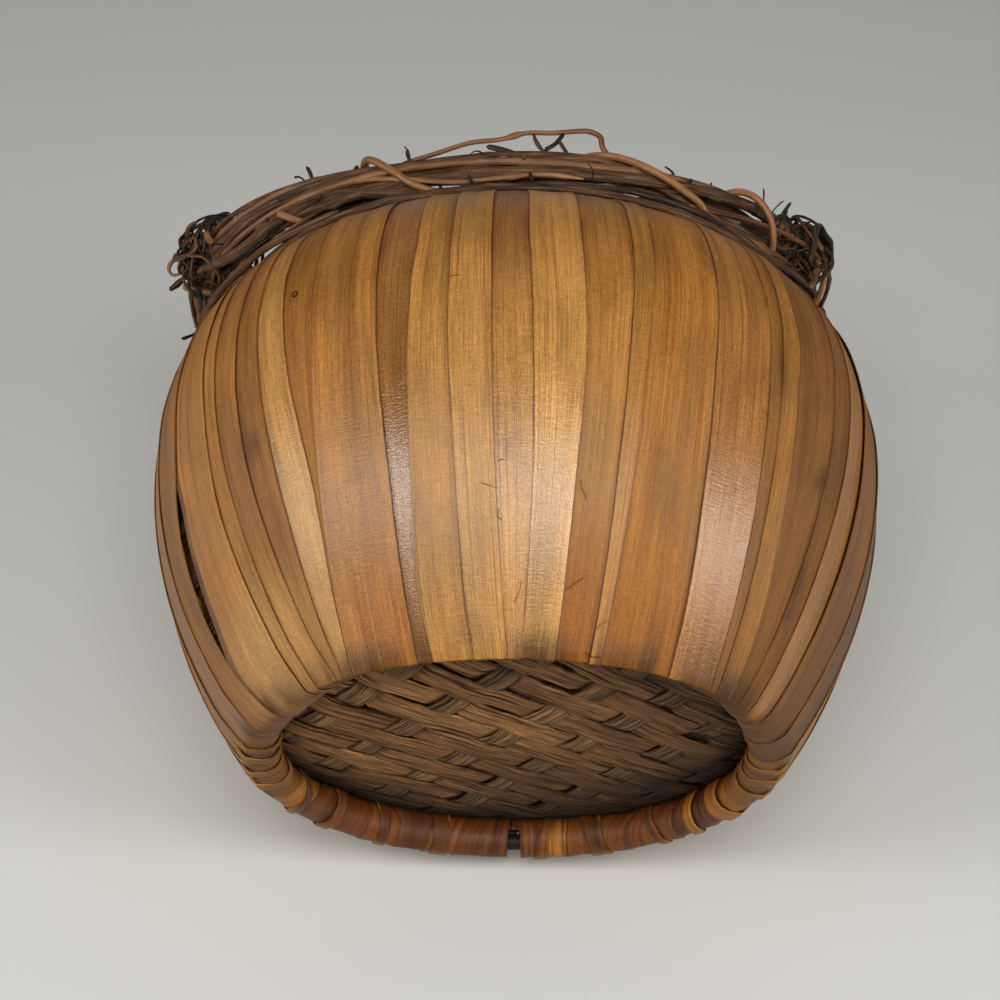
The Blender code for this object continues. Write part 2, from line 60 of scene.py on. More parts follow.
# Splits
SPLIT_THICKNESS = 0.4 * MM
EDGE_ROUND = 0.1 * MM
LOW_FACE = 1.35 * MM  # outer face of an edge that a neighbour covers, out from the hoops' wrap
LAP_LIFT = 0.5 * MM  # how much further out an edge lies that covers a neighbour
LAP_SHARE = 0.12
FOOT_FACE = 1.6 * MM  # mean distance of the wood's outer face from the section's line

# Base and liner
BASE_TURN = radians(35.5)
BASE_LEVEL = 11.3 * MM
LINER_TOP = 144 * MM


def ink(red, green, blue):
    """A colour given as it looks on a screen, 0 to 255, in the light values that shaders use."""
    light = []
    for part in (red, green, blue):
        part /= 255
        light.append(part / 12.92 if part <= GREY_STEP else ((part + 0.055) / 1.055) ** 2.4)
    return tuple(light)


def ease(low, high, value):
    share = min(max((value - low) / (high - low), 0), 1)
    return share * share * (3 - 2 * share)


def blend(first, second, share):
    return tuple(a + (b - a) * share for a, b in zip(first, second))


def wander(place, scale, seed):
    """Smooth unevenness from -1 to 1 along a length."""
    return noise.noise(Vector((place * scale, seed * 7.31, seed * 1.7)))


def between(table, value):
    """The value read off a table of pairs, on straight lines between them."""
    last = table[0]
    for pair in table[1:]:
        if value <= pair[0]:
            share = max((value - last[0]) / (pair[0] - last[0]), 0)
            return last[1] + (pair[1] - last[1]) * share
        last = pair
    return last[1]


# Making pieces

SHARP = 50  # degrees between two faces from which the edge between them counts as sharp


def deselect():
    for obj in bpy.context.selected_objects:
        obj.select_set(False)


def pick_only(obj):
    deselect()
    obj.select_set(True)
    bpy.context.view_layer.objects.active = obj


def laid_grid(name, across, along, points, size, shift=(0, 0)):
    """A grid primitive laid out on points[u, v]. Its UV map is in metres: size is its width and length."""
    deselect()
    bpy.ops.mesh.primitive_grid_add(x_subdivisions=across, y_subdivisions=along, size=1, calc_uvs=True)
    piece = bpy.context.object
    piece.name = name
    piece.data.name = name
    for vertex in piece.data.vertices:
        vertex.co = points[round((vertex.co.x + 0.5) * across), round((vertex.co.y + 0.5) * along)]
    for corner in piece.data.uv_layers.active.data:
        corner.uv = (corner.uv.x * size[0] + shift[0], corner.uv.y * size[1] + shift[1])
    return piece


def thicken(piece, thickness, offset, edge):
    """Gives a sheet its thickness and, where edge isn't 0, rounds its sharp edges that far."""
    pick_only(piece)
    solid = piece.modifiers.new("thickness", "SOLIDIFY")
    solid.thickness = thickness
    solid.offset = offset
    bpy.ops.object.modifier_apply(modifier=solid.name)
    if edge:
        soft = piece.modifiers.new("edge", "BEVEL")
        soft.width = edge
        soft.segments = 2
        soft.limit_method = "ANGLE"
        soft.angle_limit = radians(SHARP)
        bpy.ops.object.modifier_apply(modifier=soft.name)


def smooth(piece, angle=SHARP):
    """Shades a piece smooth where its faces meet at less than an angle in degrees."""
    pick_only(piece)
    bpy.ops.object.shade_smooth_by_angle(angle=radians(angle))


def close_seams(piece, caps=True):
    """Joins a grid's edges where they meet and, with caps, fills what stays open."""
    pick_only(piece)
    bpy.ops.object.mode_set(mode="EDIT")
    bpy.ops.mesh.select_all(action="SELECT")
    bpy.ops.mesh.remove_doubles(threshold=0.001 * MM)
    if caps:
        bpy.ops.mesh.fill_holes(sides=0)
        bpy.ops.mesh.select_all(action="SELECT")
        bpy.ops.mesh.normals_make_consistent(inside=False)
    bpy.ops.object.mode_set(mode="OBJECT")


def join(pieces, name):
    deselect()
    for piece in pieces:
        piece.select_set(True)
    bpy.context.view_layer.objects.active = pieces[0]
    bpy.ops.object.join()
    joined = bpy.context.object
    joined.name = name
    joined.data.name = name
    return joined


def paint(piece, tones):
    """Gives each point its tone, from a list or one for all. A tone's fourth value is its gloss, else 0."""
    layer = piece.data.attributes.new("tone", "FLOAT_COLOR", "POINT")
    if len(tones) == 3 and not hasattr(tones[0], "__len__"):
        tones = [tones] * len(piece.data.vertices)
    for point, tone in zip(layer.data, tones):
        point.color = tone if len(tone) == 4 else (*tone, 0.0)


def in_order(by_place):
    """Values kept by (u, v) in the order of a grid's points."""
    return [by_place[key] for key in sorted(by_place, key=lambda key: (key[1], key[0]))]


def settle(piece, material, slot, *nodes):
    """Gives a finished piece its material, hangs it from the root body and hides the model's parts that it
    stands for; the slot is not used.
    """
    piece.data.materials.clear()
    piece.data.materials.append(material)
    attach(piece, "root")
    if nodes:
        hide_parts(*nodes)


def around(radius, height, from_front):
    """A point at an angle in degrees from the front, which is at -Y; the angle grows towards +X."""
    angle = radians(from_front - 90)
    return Vector((radius * cos(angle), radius * sin(angle), height))


# Node groups


class Nodes:
    """A node tree and short ways to add to it."""

    def __init__(self, tree):
        self.tree = tree

    def add(self, kind, settings=(), **inputs):
        node = self.tree.nodes.new("ShaderNode" + kind)
        for key, value in dict(settings).items():
            setattr(node, key, value)
        for key, value in inputs.items():
            self.feed(node.inputs[key.replace("_", " ")], value)
        return node

    def feed(self, socket, value):
        if isinstance(value, bpy.types.NodeSocket):
            self.tree.links.new(value, socket)
        else:
            socket.default_value = value

    def sum(self, operation, first, second, clamp=False):
        node = self.add("Math", {"operation": operation, "use_clamp": clamp})
        self.feed(node.inputs[0], first)
        self.feed(node.inputs[1], second)
        return node.outputs[0]

    def speckle(self, vector, scale, detail, rough=0.55, warp=0.0):
        stretched = self.add("Mapping", Vector=vector, Scale=scale)
        node = self.add("TexNoise", Vector=stretched.outputs[0], Scale=1.0, Detail=detail)
        node.inputs["Roughness"].default_value = rough
        node.inputs["Distortion"].default_value = warp
        return node.outputs["Fac"]

    def level(self, value, low, high, bottom=0.0, top=1.0):
        node = self.add("MapRange", {"clamp": True})
        pairs = (("Value", value), ("From Min", low), ("From Max", high), ("To Min", bottom), ("To Max", top))
        for key, part in pairs:
            self.feed(node.inputs[key], part)
        return node.outputs[0]

    def mix(self, kind, share, first, second):
        node = self.add("Mix", {"data_type": "RGBA", "blend_type": kind})
        self.feed(node.inputs[0], share)
        self.feed(node.inputs[6], first)
        self.feed(node.inputs[7], second)
        return node.outputs[2]

    def shade(self, colour, *shades):
        """A colour times levels, each given as its value, low, high, bottom and top."""
        for shade in shades:
            colour = self.mix("MULTIPLY", 1.0, colour, self.level(*shade))
        return colour

    def weighed(self, *parts):
        """The sum of values times their weights."""
        total = None
        for value, weight in parts:
            part = self.sum("MULTIPLY", value, weight)
            total = part if total is None else self.sum("ADD", total, part)
        return total


def new_group(name, extra=()):
    """An empty group that takes a place and a tone and gives a colour, a roughness and a height."""
    tree = bpy.data.node_groups.new(name, "ShaderNodeTree")
    for title, kind, value in (("Vector", "Vector", None), ("Tone", "Color", (0.5, 0.5, 0.5, 1)), *extra):
        socket = tree.interface.new_socket(title, in_out="INPUT", socket_type="NodeSocket" + kind)
        if value is not None:
            socket.default_value = value
    for title, kind in (("Colour", "Color"), ("Roughness", "Float"), ("Height", "Float")):
        tree.interface.new_socket(title, in_out="OUTPUT", socket_type="NodeSocket" + kind)
    return Nodes(tree), tree.nodes.new("NodeGroupInput").outputs, tree.nodes.new("NodeGroupOutput").inputs


def make_wood_grain():
    """Long straight grain of a shaved split: soft fibres, dark hairlines, broad shade and cloudy patches."""
    nodes, given, result = new_group("split_grain", [("Streaks", "Float", 0.5)])
    along = given["Vector"]
    fibre = nodes.speckle(along, (2300, 30, 1), 4, 0.6)
    fine = nodes.speckle(along, (5600, 210, 1), 3, 0.65)
    hairline = nodes.speckle(along, (1500, 7, 1), 2, 0.6)
    streak = nodes.speckle(along, (420, 6, 1), 4, 0.6, 0.15)
    broad = nodes.speckle(along, (95, 12, 1), 3, 0.55)
    cloud = nodes.speckle(along, (42, 24, 1), 3, 0.5, 0.4)
    pit = nodes.speckle(along, (1900, 900, 1), 3, 0.75)
    ripple = nodes.speckle(along, (260, 1500, 1), 3, 0.6, 0.5)
    fleck = nodes.speckle(along, (700, 420, 1), 2, 0.6)
    coloured = nodes.shade(
        given["Tone"], (fibre, 0.3, 0.7, 0.66, 1.28), (fine, 0.32, 0.68, 0.7, 1.25),
        (broad, 0.3, 0.7, 0.78, 1.17), (cloud, 0.3, 0.7, 0.8, 1.14), (pit, 0.3, 0.7, 0.78, 1.2),
        (ripple, 0.3, 0.7, 0.88, 1.11))
    dark_streak = nodes.sum("MULTIPLY", nodes.level(streak, 0.50, 0.72), given["Streaks"])
    coloured = nodes.mix("MULTIPLY", dark_streak, coloured, (0.66, 0.48, 0.33, 1))
    pale_streak = nodes.level(streak, 0.44, 0.26, 0.0, 0.5)
    coloured = nodes.mix("SCREEN", pale_streak, coloured, (0.10, 0.065, 0.03, 1))
    crack = nodes.level(hairline, 0.63, 0.70, 0.0, 0.65)
    coloured = nodes.mix("MULTIPLY", crack, coloured, (0.46, 0.29, 0.18, 1))
    spot = nodes.level(fleck, 0.74, 0.80, 0.0, 0.7)
    coloured = nodes.mix("MULTIPLY", spot, coloured, (0.45, 0.31, 0.20, 1))
    nodes.feed(result["Colour"], coloured)
    rough = nodes.level(fibre, 0.3, 0.7, -0.10, 0.10)
    rough = nodes.sum("ADD", rough, nodes.level(pit, 0.3, 0.7, -0.15, 0.15))
    nodes.feed(result["Roughness"], nodes.sum("ADD", rough, nodes.level(cloud, 0.3, 0.7, -0.05, 0.06)))
    relief = nodes.weighed((fibre, 0.5), (streak, 0.4), (pit, 0.5), (ripple, 0.8), (fine, 0.3))
    nodes.feed(result["Height"], nodes.sum("SUBTRACT", relief, nodes.sum("MULTIPLY", crack, 0.8)))
    return nodes.tree


def make_bark():
    """Stringy vine bark: ridges along the stem, dark hollows and rubbed high places."""
    nodes, given, result = new_group("stringy_bark", [("Roughening", "Float", 0.5)])
    along = given["Vector"]
    ridge = nodes.speckle(along, (1300, 70, 1), 4, 0.62, 0.3)
    patch = nodes.speckle(along, (240, 34, 1), 3, 0.55, 0.4)
    grit = nodes.speckle(along, (2600, 1000, 1), 3, 0.65)
    hollow = nodes.sum("MULTIPLY", nodes.level(ridge, 0.54, 0.36), given["Roughening"])
    coloured = nodes.mix("MULTIPLY", hollow, given["Tone"], (0.26, 0.20, 0.17, 1))
    rubbed = nodes.sum("MULTIPLY", nodes.level(ridge, 0.53, 0.7), 0.6)
    coloured = nodes.mix("SCREEN", rubbed, coloured, (0.17, 0.12, 0.08, 1))
    coloured = nodes.shade(coloured, (patch, 0.3, 0.7, 0.55, 1.35), (grit, 0.3, 0.7, 0.8, 1.15))
    nodes.feed(result["Colour"], coloured)
    nodes.feed(result["Roughness"], nodes.level(patch, 0.3, 0.7, -0.1, 0.1))
    nodes.feed(result["Height"], nodes.weighed((ridge, 0.8), (grit, 0.2)))
    return nodes.tree


def make_fibre():
    """Dry stringy bast of the plaited strips, with long dark cracks between its fibres."""
    nodes, given, result = new_group("dry_fibre")
    along = given["Vector"]
    string = nodes.speckle(along, (1700, 45, 1), 5, 0.7, 0.45)
    coarse = nodes.speckle(along, (520, 12, 1), 4, 0.65, 0.3)
    shade = nodes.speckle(along, (60, 18, 1), 3, 0.5)
    coloured = nodes.shade(given["Tone"], (string, 0.38, 0.62, 0.2, 1.8), (shade, 0.3, 0.7, 0.75, 1.22))
    pale = nodes.level(string, 0.60, 0.72, 0.0, 0.7)
    coloured = nodes.mix("SCREEN", pale, coloured, (0.15, 0.10, 0.06, 1))
    crack = nodes.level(coarse, 0.45, 0.38)
    coloured = nodes.mix("MULTIPLY", crack, coloured, (0.22, 0.15, 0.11, 1))
    nodes.feed(result["Colour"], coloured)
    nodes.feed(result["Roughness"], nodes.level(string, 0.3, 0.7, -0.06, 0.06))
    relief = nodes.weighed((string, 0.7), (coarse, 0.6))
    nodes.feed(result["Height"], nodes.sum("SUBTRACT", relief, nodes.sum("MULTIPLY", crack, 0.5)))
    return nodes.tree


def finish_of(name, grain, extra, roughness, bump, depth, shine):
    """A material that puts a piece's UV map and tone through a group; shine is its least and its range."""
    material = bpy.data.materials.new(name)
    material.use_nodes = True
    nodes = Nodes(material.node_tree)
    shader = material.node_tree.nodes["Principled BSDF"]
    uv = nodes.add("UVMap")
    tone = nodes.add("Attribute", {"attribute_name": "tone"})
    pattern = material.node_tree.nodes.new("ShaderNodeGroup")
    pattern.node_tree = grain
    nodes.feed(pattern.inputs["Vector"], uv.outputs[0])
    nodes.feed(pattern.inputs["Tone"], tone.outputs["Color"])
    for key, value in extra.items():
        pattern.inputs[key].default_value = value
    nodes.feed(shader.inputs["Base Color"], pattern.outputs["Colour"])
    polished = nodes.sum("MULTIPLY", tone.outputs["Alpha"], GLOSS_RANGE)
    rough = nodes.sum("SUBTRACT", nodes.sum("ADD", pattern.outputs["Roughness"], roughness), polished, True)
    nodes.feed(shader.inputs["Roughness"], rough)
    sheen = nodes.sum("ADD", nodes.sum("MULTIPLY", tone.outputs["Alpha"], shine[1]), shine[0], True)
    nodes.feed(shader.inputs["Specular IOR Level"], sheen)
    raised = nodes.add("Bump", Strength=bump, Distance=depth, Height=pattern.outputs["Height"])
    nodes.feed(shader.inputs["Normal"], raised.outputs[0])
    return material


GLOSS_RANGE = 0.37  # how much smoother a finish is for each 1 of gloss
WOOD_GRAIN = make_wood_grain()
BARK = make_bark()
SPLIT_WOOD = finish_of("varnished_split", WOOD_GRAIN, {"Streaks": 0.65}, 0.63, 1.0, 0.14 * MM, (0.12, 0.6))
CORE_WOOD = finish_of("dark_hoop", WOOD_GRAIN, {"Streaks": 0.6}, 0.58, 0.5, 0.2 * MM, (0.25, 0))
STEM_BARK = finish_of("vine_bark", BARK, {"Roughening": 0.85}, 0.72, 1.0, 0.6 * MM, (0.2, 0))
SMOOTH_BARK = finish_of("young_vine", BARK, {"Roughening": 0.45}, 0.5, 0.6, 0.3 * MM, (0.4, 0))
STRIP_FIBRE = finish_of("plaited_fibre", make_fibre(), {}, 0.8, 1.0, 0.9 * MM, (0.15, 0))


# Wall splits


class Place:
    """A point of the wall's section with its outward normal."""

    def __init__(self, radius, height, normal_angle, foot=0.0):
        self.radius = radius
        self.height = height
        self.normal = (cos(normal_angle), sin(normal_angle))
        self.foot = foot  # above 0 on the foot ring, and more the further it is up the ring's inner side

    def raised(self, distance):
        return self.radius + distance * self.normal[0], self.height + distance * self.normal[1]


def arc_place(centre, arc_radius, angle):
    turn = radians(angle)
    return Place(centre[0] + arc_radius * cos(turn), centre[1] + arc_radius * sin(turn), turn)


def foot_place(radius, height, normal_angle, foot):
    """A place on the foot ring, from where the wood's outer face lies in millimetres."""
    turn = radians(normal_angle)
    return Place(radius * MM - FOOT_FACE * cos(turn), height * MM - FOOT_FACE * sin(turn), turn, foot)


def wall_place(share):
    rise = BULGE_HEIGHT - WALL_START[1]
    radius = WIDEST - (WIDEST - WALL_START[0]) * (1 - share) ** 2
    slope = 2 * (WIDEST - WALL_START[0]) * (1 - share) / rise
    return Place(radius, WALL_START[1] + share * rise, -acos(1 / hypot(1, slope)))


def shoulder_place(angle):
    turn = radians(angle)
    radius = SHOULDER_CENTRE + SHOULDER_RUN * cos(turn)
    steepness = hypot(cos(turn) / SHOULDER_RUN, sin(turn) / SHOULDER_RISE)
    normal = acos(cos(turn) / SHOULDER_RUN / steepness)
    swell = SHOULDER_SWELL * sin(pi * min(max((angle - 12) / 68, 0), 1)) ** 2
    height = BULGE_HEIGHT + SHOULDER_RISE * sin(turn)
    return Place(radius + swell * cos(normal), height + swell * sin(normal), normal)


def outer_place(height):
    """The wall's section at a height between the foot and the shoulder's top."""
    if height <= BULGE_HEIGHT:
        return wall_place((height - WALL_START[1]) / (BULGE_HEIGHT - WALL_START[1]))
    share = min((height - BULGE_HEIGHT) / SHOULDER_RISE, 0.999)
    return shoulder_place(90 - acos(share) * 180 / pi)


# The foot ring's section as radius, height, direction of the face and how far up its inner side that is:
# sharply folded in front, a fat roll at the sides and a round one behind
FRONT_FOOT = (
    (93.2, 13.4, 164, 2.8), (92.3, 10.2, 164, 2.4), (91.6, 7.4, 165, 2.0), (91.1, 5.6, 170, 1.7),
    (90.95, 4.7, 184, 1.4), (91.25, 4.1, 210, 1.2), (92.1, 3.5, 234, 1.0), (95.4, 1.6, 240, 1.0),
    (97.0, 0.65, 241, 0.8), (97.5, 0.3, 283, 0.4),
)
SIDE_FOOT = (
    (91.5, 14.4, 135, 2.6), (88.6, 12.2, 143, 2.2), (86.6, 9.6, 156, 1.8), (85.4, 7.2, 172, 1.45),
    (85.0, 5.4, 188, 1.3), (85.5, 3.8, 208, 1.1), (86.9, 2.1, 234, 1.0), (89.6, 0.8, 262, 0.9),
    (92.4, 0.5, 276, 0.75), (95.2, 1.1, 294, 0.4),
)
BACK_FOOT = (
    (93.1, 15.3, 140, 2.6), (91.5, 13.4, 154, 2.15), (90.6, 11.2, 167, 1.75), (90.1, 8.9, 178, 1.4),
    (90.2, 6.6, 190, 1.2), (90.9, 4.5, 204, 1.1), (92.1, 2.6, 222, 1.0), (93.9, 1.1, 243, 1.0),
    (95.7, 0.4, 262, 0.8), (97.3, 0.5, 290, 0.4),
)
LEFT_BLEND, RIGHT_BLEND = (30, 57), (34, 74)  # degrees over which the front's section turns into a side's
BACK_BLEND = (98, 150)  # degrees over which a side's turns into the one behind
LEFT_TUCK = 1.1 * MM  # how far the wall's foot is drawn in at the left side and at the right side
RIGHT_TUCK = 0.5 * MM
TUCK_TOP = 17 * MM
WALL_STEPS = 44
SHOULDER_STEP = 3  # degrees
SHOULDER_END = 72


def side_share(bearing):
    """How much of the side's section the foot ring has at a bearing from the front."""
    far = abs(bearing)
    return ease(*(LEFT_BLEND if bearing < 0 else RIGHT_BLEND), far) * (1 - ease(*BACK_BLEND, far))


def foot_at(step, angle, inner, lower):
    """A place on the foot ring, between the sections that hold in front, at the sides and behind."""
    bearing = angle_from_front(angle)
    side = side_share(bearing)
    back = ease(*BACK_BLEND, abs(bearing))
    mixed = []
    for front_value, side_value, back_value in zip(FRONT_FOOT[step], SIDE_FOOT[step], BACK_FOOT[step]):
        mixed.append(front_value * (1 - side - back) + side_value * side + back_value * back)
    radius, height, direction, foot = mixed
    loose = min(max(foot - 0.8, 0), 1)
    return foot_place(radius + inner * loose, height + lower * min(loose, 0.5), direction, foot)


def tucked_in(place, angle):
    """A place low on the wall, drawn in at the sides to meet the fat roll."""
    bearing = angle_from_front(angle)
    tuck = (LEFT_TUCK if bearing < 0 else RIGHT_TUCK) * side_share(bearing)
    tuck *= 1 - ease(3 * MM, TUCK_TOP, place.height)
    return Place(place.radius - tuck, place.height, atan2(place.normal[1], place.normal[0]), place.foot)


def split_section(rng):
    """A function for the places up a split, from inside the foot ring to inside the rim, and their count."""
    inner, lower = rng.uniform(-0.5, 0.4), rng.uniform(-0.4, 0.5)
    start = foot_place(94.2 + rng.uniform(-0.5, 0.5), rng.uniform(15.5, 18.0), 164, 2.95)
    foot_rows = len(FRONT_FOOT)
    above = [wall_place(step / WALL_STEPS) for step in range(WALL_STEPS)]
    above += [shoulder_place(angle) for angle in range(0, SHOULDER_END + 1, SHOULDER_STEP)]
    above += [arc_place(RIM_CORE_AT, RIM_CORE + GAP, angle) for angle in RIM_WRAP]

    def place_at(row, angle):
        if row == 0:
            return start
        if row <= foot_rows:
            return foot_at(row - 1, angle, inner, lower)
        step = row - 1 - foot_rows
        place = above[step]
        return tucked_in(place, angle) if step < WALL_STEPS and place.height < TUCK_TOP else place

    return place_at, 1 + foot_rows + len(above)


SEAM_HEIGHTS = (-4 * MM, 1 * MM, 16 * MM, 56 * MM, 96 * MM, 117 * MM, 137 * MM)
# Each seam's angle from the front in degrees at those heights, and the side whose split lies on top
FRONT_SEAMS = (
    (-68.0, -69.0, -72.0, -74.5, -74.0, -74.0, -74.0, "left"),
    (-57.0, -59.0, -63.6, -64.7, -63.0, -63.5, -63.8, "left"),
    (-43.6, -45.6, -48.3, -51.7, -53.0, -53.9, -54.4, "left"),
    (-41.4, -42.6, -44.9, -48.0, -50.0, -50.5, -51.0, "left"),
    (-35.8, -36.8, -39.7, -43.0, -45.0, -45.4, -45.7, "left"),
    (-35.0, -35.2, -36.4, -38.0, -40.0, -40.8, -41.4, "left"),
    (-32.8, -32.9, -32.5, -32.0, -34.7, -35.8, -36.8, "left"),
    (-32.6, -32.7, -32.2, -30.8, -30.3, -30.5, -30.8, "right"),
    (-18.6, -18.9, -19.2, -19.4, -20.2, -20.5, -20.7, "left"),
    (-15.6, -15.9, -16.7, -16.1, -15.7, -15.4, -15.0, "right"),
    (-7.4, -7.8, -8.8, -9.4, -10.0, -10.0, -9.9, "right"),
    (-1.3, -1.7, -2.6, -3.6, -4.1, -4.2, -4.4, "left"),
    (0.4, 0.8, 1.4, 2.0, 1.7, 1.4, 1.0, "right"),
    (6.8, 7.1, 7.5, 8.3, 8.9, 8.7, 8.3, "left"),
    (13.4, 13.7, 14.1, 14.5, 15.2, 15.7, 16.0, "right"),
    (15.2, 15.6, 16.1, 16.8, 17.8, 18.5, 19.0, "left"),
    (30.6, 30.4, 29.8, 28.4, 28.3, 28.8, 29.2, "right"),
    (42.0, 41.2, 39.9, 38.2, 37.9, 38.3, 38.3, "right"),
    (43.4, 42.9, 42.0, 40.6, 40.4, 40.8, 41.4, "right"),
    (46.8, 46.6, 46.2, 44.0, 43.7, 44.4, 44.2, "left"),
    (49.8, 50.2, 50.9, 51.9, 53.2, 53.9, 55.0, "right"),
    (54.0, 54.5, 55.4, 56.4, 58.3, 59.1, 60.2, "right"),
    (60.2, 60.8, 61.7, 62.9, 64.0, 65.1, 66.1, "right"),
    (71.5, 72.0, 73.0, 75.0, 76.0, 76.5, 77.0, "right"),
)
# The seams behind, as angles from the front in degrees at the foot ring
BACK_SEAMS = (
    83.0, 93.5, 104.0, 114.5, 124.7, 135.5, 150.0, 165.8, 172.4, 179.2, 184.9,
    194.2, 201.8, 209.0, 218.0, 231.3, 241.0, 251.0, 261.0, 271.0, 281.0,
)
LAST_RIGHT_SEAM = 8
LAST_FRONT_SPLIT = 21
FRONT_PARTS, BACK_PARTS = 4, 11  # parts across the middle of a split
STANDING_SPLIT = 22  # the split on the right whose edge stands off
# Seams that gape, one at the left and one behind at the foot: half width in degrees, middle and half height
OPENINGS = {1: (1.25, 51 * MM, 30 * MM), 33: (1.7, 0, 13 * MM)}


def all_seams():
    seams = list(FRONT_SEAMS)
    first, last = FRONT_SEAMS[-1][:-1], [angle + 360 for angle in FRONT_SEAMS[0][:-1]]
    for index, foot_angle in enumerate(BACK_SEAMS):
        share = (foot_angle - first[1]) / (last[1] - first[1])
        angles = [low + share * (high - low) for low, high in zip(first, last)]
        seams.append((*angles, "right" if index < LAST_RIGHT_SEAM else "left"))
    return seams


SEAMS = all_seams()


def seam_angle(number, height):
    """A seam's angle at a height, on a smooth curve through its listed angles."""
    count = len(SEAMS)
    turns = floor(number / count)
    angles = SEAMS[number % count][:-1]
    place = min(max(height, SEAM_HEIGHTS[0]), SEAM_HEIGHTS[-1])
    last = len(SEAM_HEIGHTS) - 1
    for step in range(last):
        if place <= SEAM_HEIGHTS[step + 1]:
            break
    low, high = SEAM_HEIGHTS[step], SEAM_HEIGHTS[step + 1]
    share = (place - low) / (high - low)

    def slope(index):
        before, after = max(index - 1, 0), min(index + 1, last)
        return (angles[after] - angles[before]) / (SEAM_HEIGHTS[after] - SEAM_HEIGHTS[before])

    start, end = slope(step) * (high - low), slope(step + 1) * (high - low)
    a, b = angles[step], angles[step + 1]
    bend = 3 * (b - a) - 2 * start - end + share * (2 * (a - b) + start + end)
    return a + share * (start + share * bend) + 360 * turns


def side_on_top(number):
    return SEAMS[number % len(SEAMS)][-1]


def opening_at(number, height):
    """Half the width in degrees of a gap at a seam."""
    seam = number % len(SEAMS)
    if seam not in OPENINGS:
        return 0.0
    widest, middle, reach = OPENINGS[seam]
    return widest * exp(-(((height - middle) / reach) ** 4))


def ring_slant(number):
    """How far in degrees a seam leans on its way round the foot ring."""
    return 5.5 * wander(seam_angle(number, 0), 0.045, 4) - 1.0


def split_edges(number, height, near_foot, foot=0.0):
    """Left and right edges of a split in degrees, with its tucks under the splits on top of it."""
    before, left, right, after = (seam_angle(number + step, height) for step in (-1, 0, 1, 2))
    left += ring_slant(number) * max(foot - 0.8, 0)
    right += ring_slant(number + 1) * max(foot - 0.8, 0)
    left_tuck = LAP_SHARE * min(right - left, left - before)
    right_tuck = LAP_SHARE * min(right - left, after - right)
    left_gap, right_gap = opening_at(number, height), opening_at(number + 1, height)
    if side_on_top(number) == "left":
        left -= left_tuck * (1 - min(left_gap, 1))
    if side_on_top(number + 1) == "right":
        right += right_tuck * (1 - min(right_gap, 1))
    left += left_gap
    right -= right_gap
    for scale, reach in ((55, 0.08 + 0.2 * near_foot), (260, 0.05 + 0.1 * near_foot)):
        left += reach * wander(height, scale, number + 0.3)
        right += reach * wander(height, scale, number + 0.8)
    return left, right


def covered_parts(number):
    """Shares of a split's width under its neighbours at its left and right edges, and its width."""
    left, right = split_edges(number, BULGE_HEIGHT, 0)
    under_left = max(seam_angle(number, BULGE_HEIGHT) - left, 0) / (right - left)
    under_right = max(right - seam_angle(number + 1, BULGE_HEIGHT), 0) / (right - left)
    return under_left, under_right, WIDEST * radians(right - left)


def column_shares(number):
    """Shares of a split's width where its points lie, close together beside its seams."""
    beside = (0.15, 0.5, 1.1, 2.4)
    under_left, under_right, width = covered_parts(number)
    step = min(MM / width, 0.12)
    left = [0.0] + ([under_left * 0.85] if under_left > 0.02 else [])
    left += [under_left + step * far for far in beside]
    right = [1.0] + ([1 - under_right * 0.85] if under_right > 0.02 else [])
    right += [1 - under_right - step * far for far in beside]
    low, high = left[-1], right[-1]
    parts = FRONT_PARTS if number < LAST_FRONT_SPLIT else BACK_PARTS
    middle = [low + (high - low) * part / parts for part in range(1, parts)]
    return left + middle + right[::-1]


SAND = ink(172, 125, 62)
HONEY = ink(168, 116, 52)
RUSSET = ink(157, 105, 45)
GOLD = ink(191, 141, 74)
BROWN = ink(142, 95, 42)
UMBER = ink(122, 79, 38)
DULL = ink(104, 71, 38)
YELLOW_BROWN = ink(161, 108, 50)
STAIN = ink(60, 36, 22)
TOP_STAIN = ink(122, 76, 40)
SEAM_DARK = ink(74, 34, 15)
SEAM_RED = ink(88, 42, 18)
PALE_EDGE = ink(206, 160, 100)
# pale tone of the painted window light low at the left front
PAINTED_WINDOW_LIGHT = ink(190, 148, 94)
DEEP_ORANGE = ink(148, 87, 17)
# painted shade up the foot ring's inner side
RING_INSIDE_SHADE = ink(74, 34, 5)
NEAR_BLACK = ink(30, 21, 15)
# Each split in front, from the left: two woods, how much of the second, and the gloss
# The darker woods at both ends are painted shade of the sides, which turn away from the lights.
FRONT_WOODS = (
    (BROWN, UMBER, 0.3, 0.2), (HONEY, RUSSET, 0.7, 0.3), (BROWN, HONEY, 0.4, 0.2), (BROWN, BROWN, 0, 0.2),
    (BROWN, UMBER, 0.5, 0.2), (SAND, SAND, 0, 0.85), (RUSSET, BROWN, 0.6, 0.3), (RUSSET, HONEY, 0.3, 0.75),
    (UMBER, BROWN, 0.7, 1.6), (HONEY, SAND, 0.5, 0.7), (SAND, GOLD, 0.4, 0.75), (HONEY, GOLD, 0.6, 1.0),
    (GOLD, GOLD, 0, 1.15), (HONEY, SAND, 0.2, 0.45), (HONEY, HONEY, 0, 0.6), (RUSSET, RUSSET, 0, 0.35),
    (YELLOW_BROWN, YELLOW_BROWN, 0, 1.12), (BROWN, BROWN, 0, 0.4), (BROWN, HONEY, 0.3, 0.3),
    (UMBER, BROWN, 0.3, 0.2), (UMBER, UMBER, 0, 0.2), (BROWN, HONEY, 0.2, 0.8), (UMBER, UMBER, 0, 0.2),
    (DULL, DULL, 0, 0.2),
)
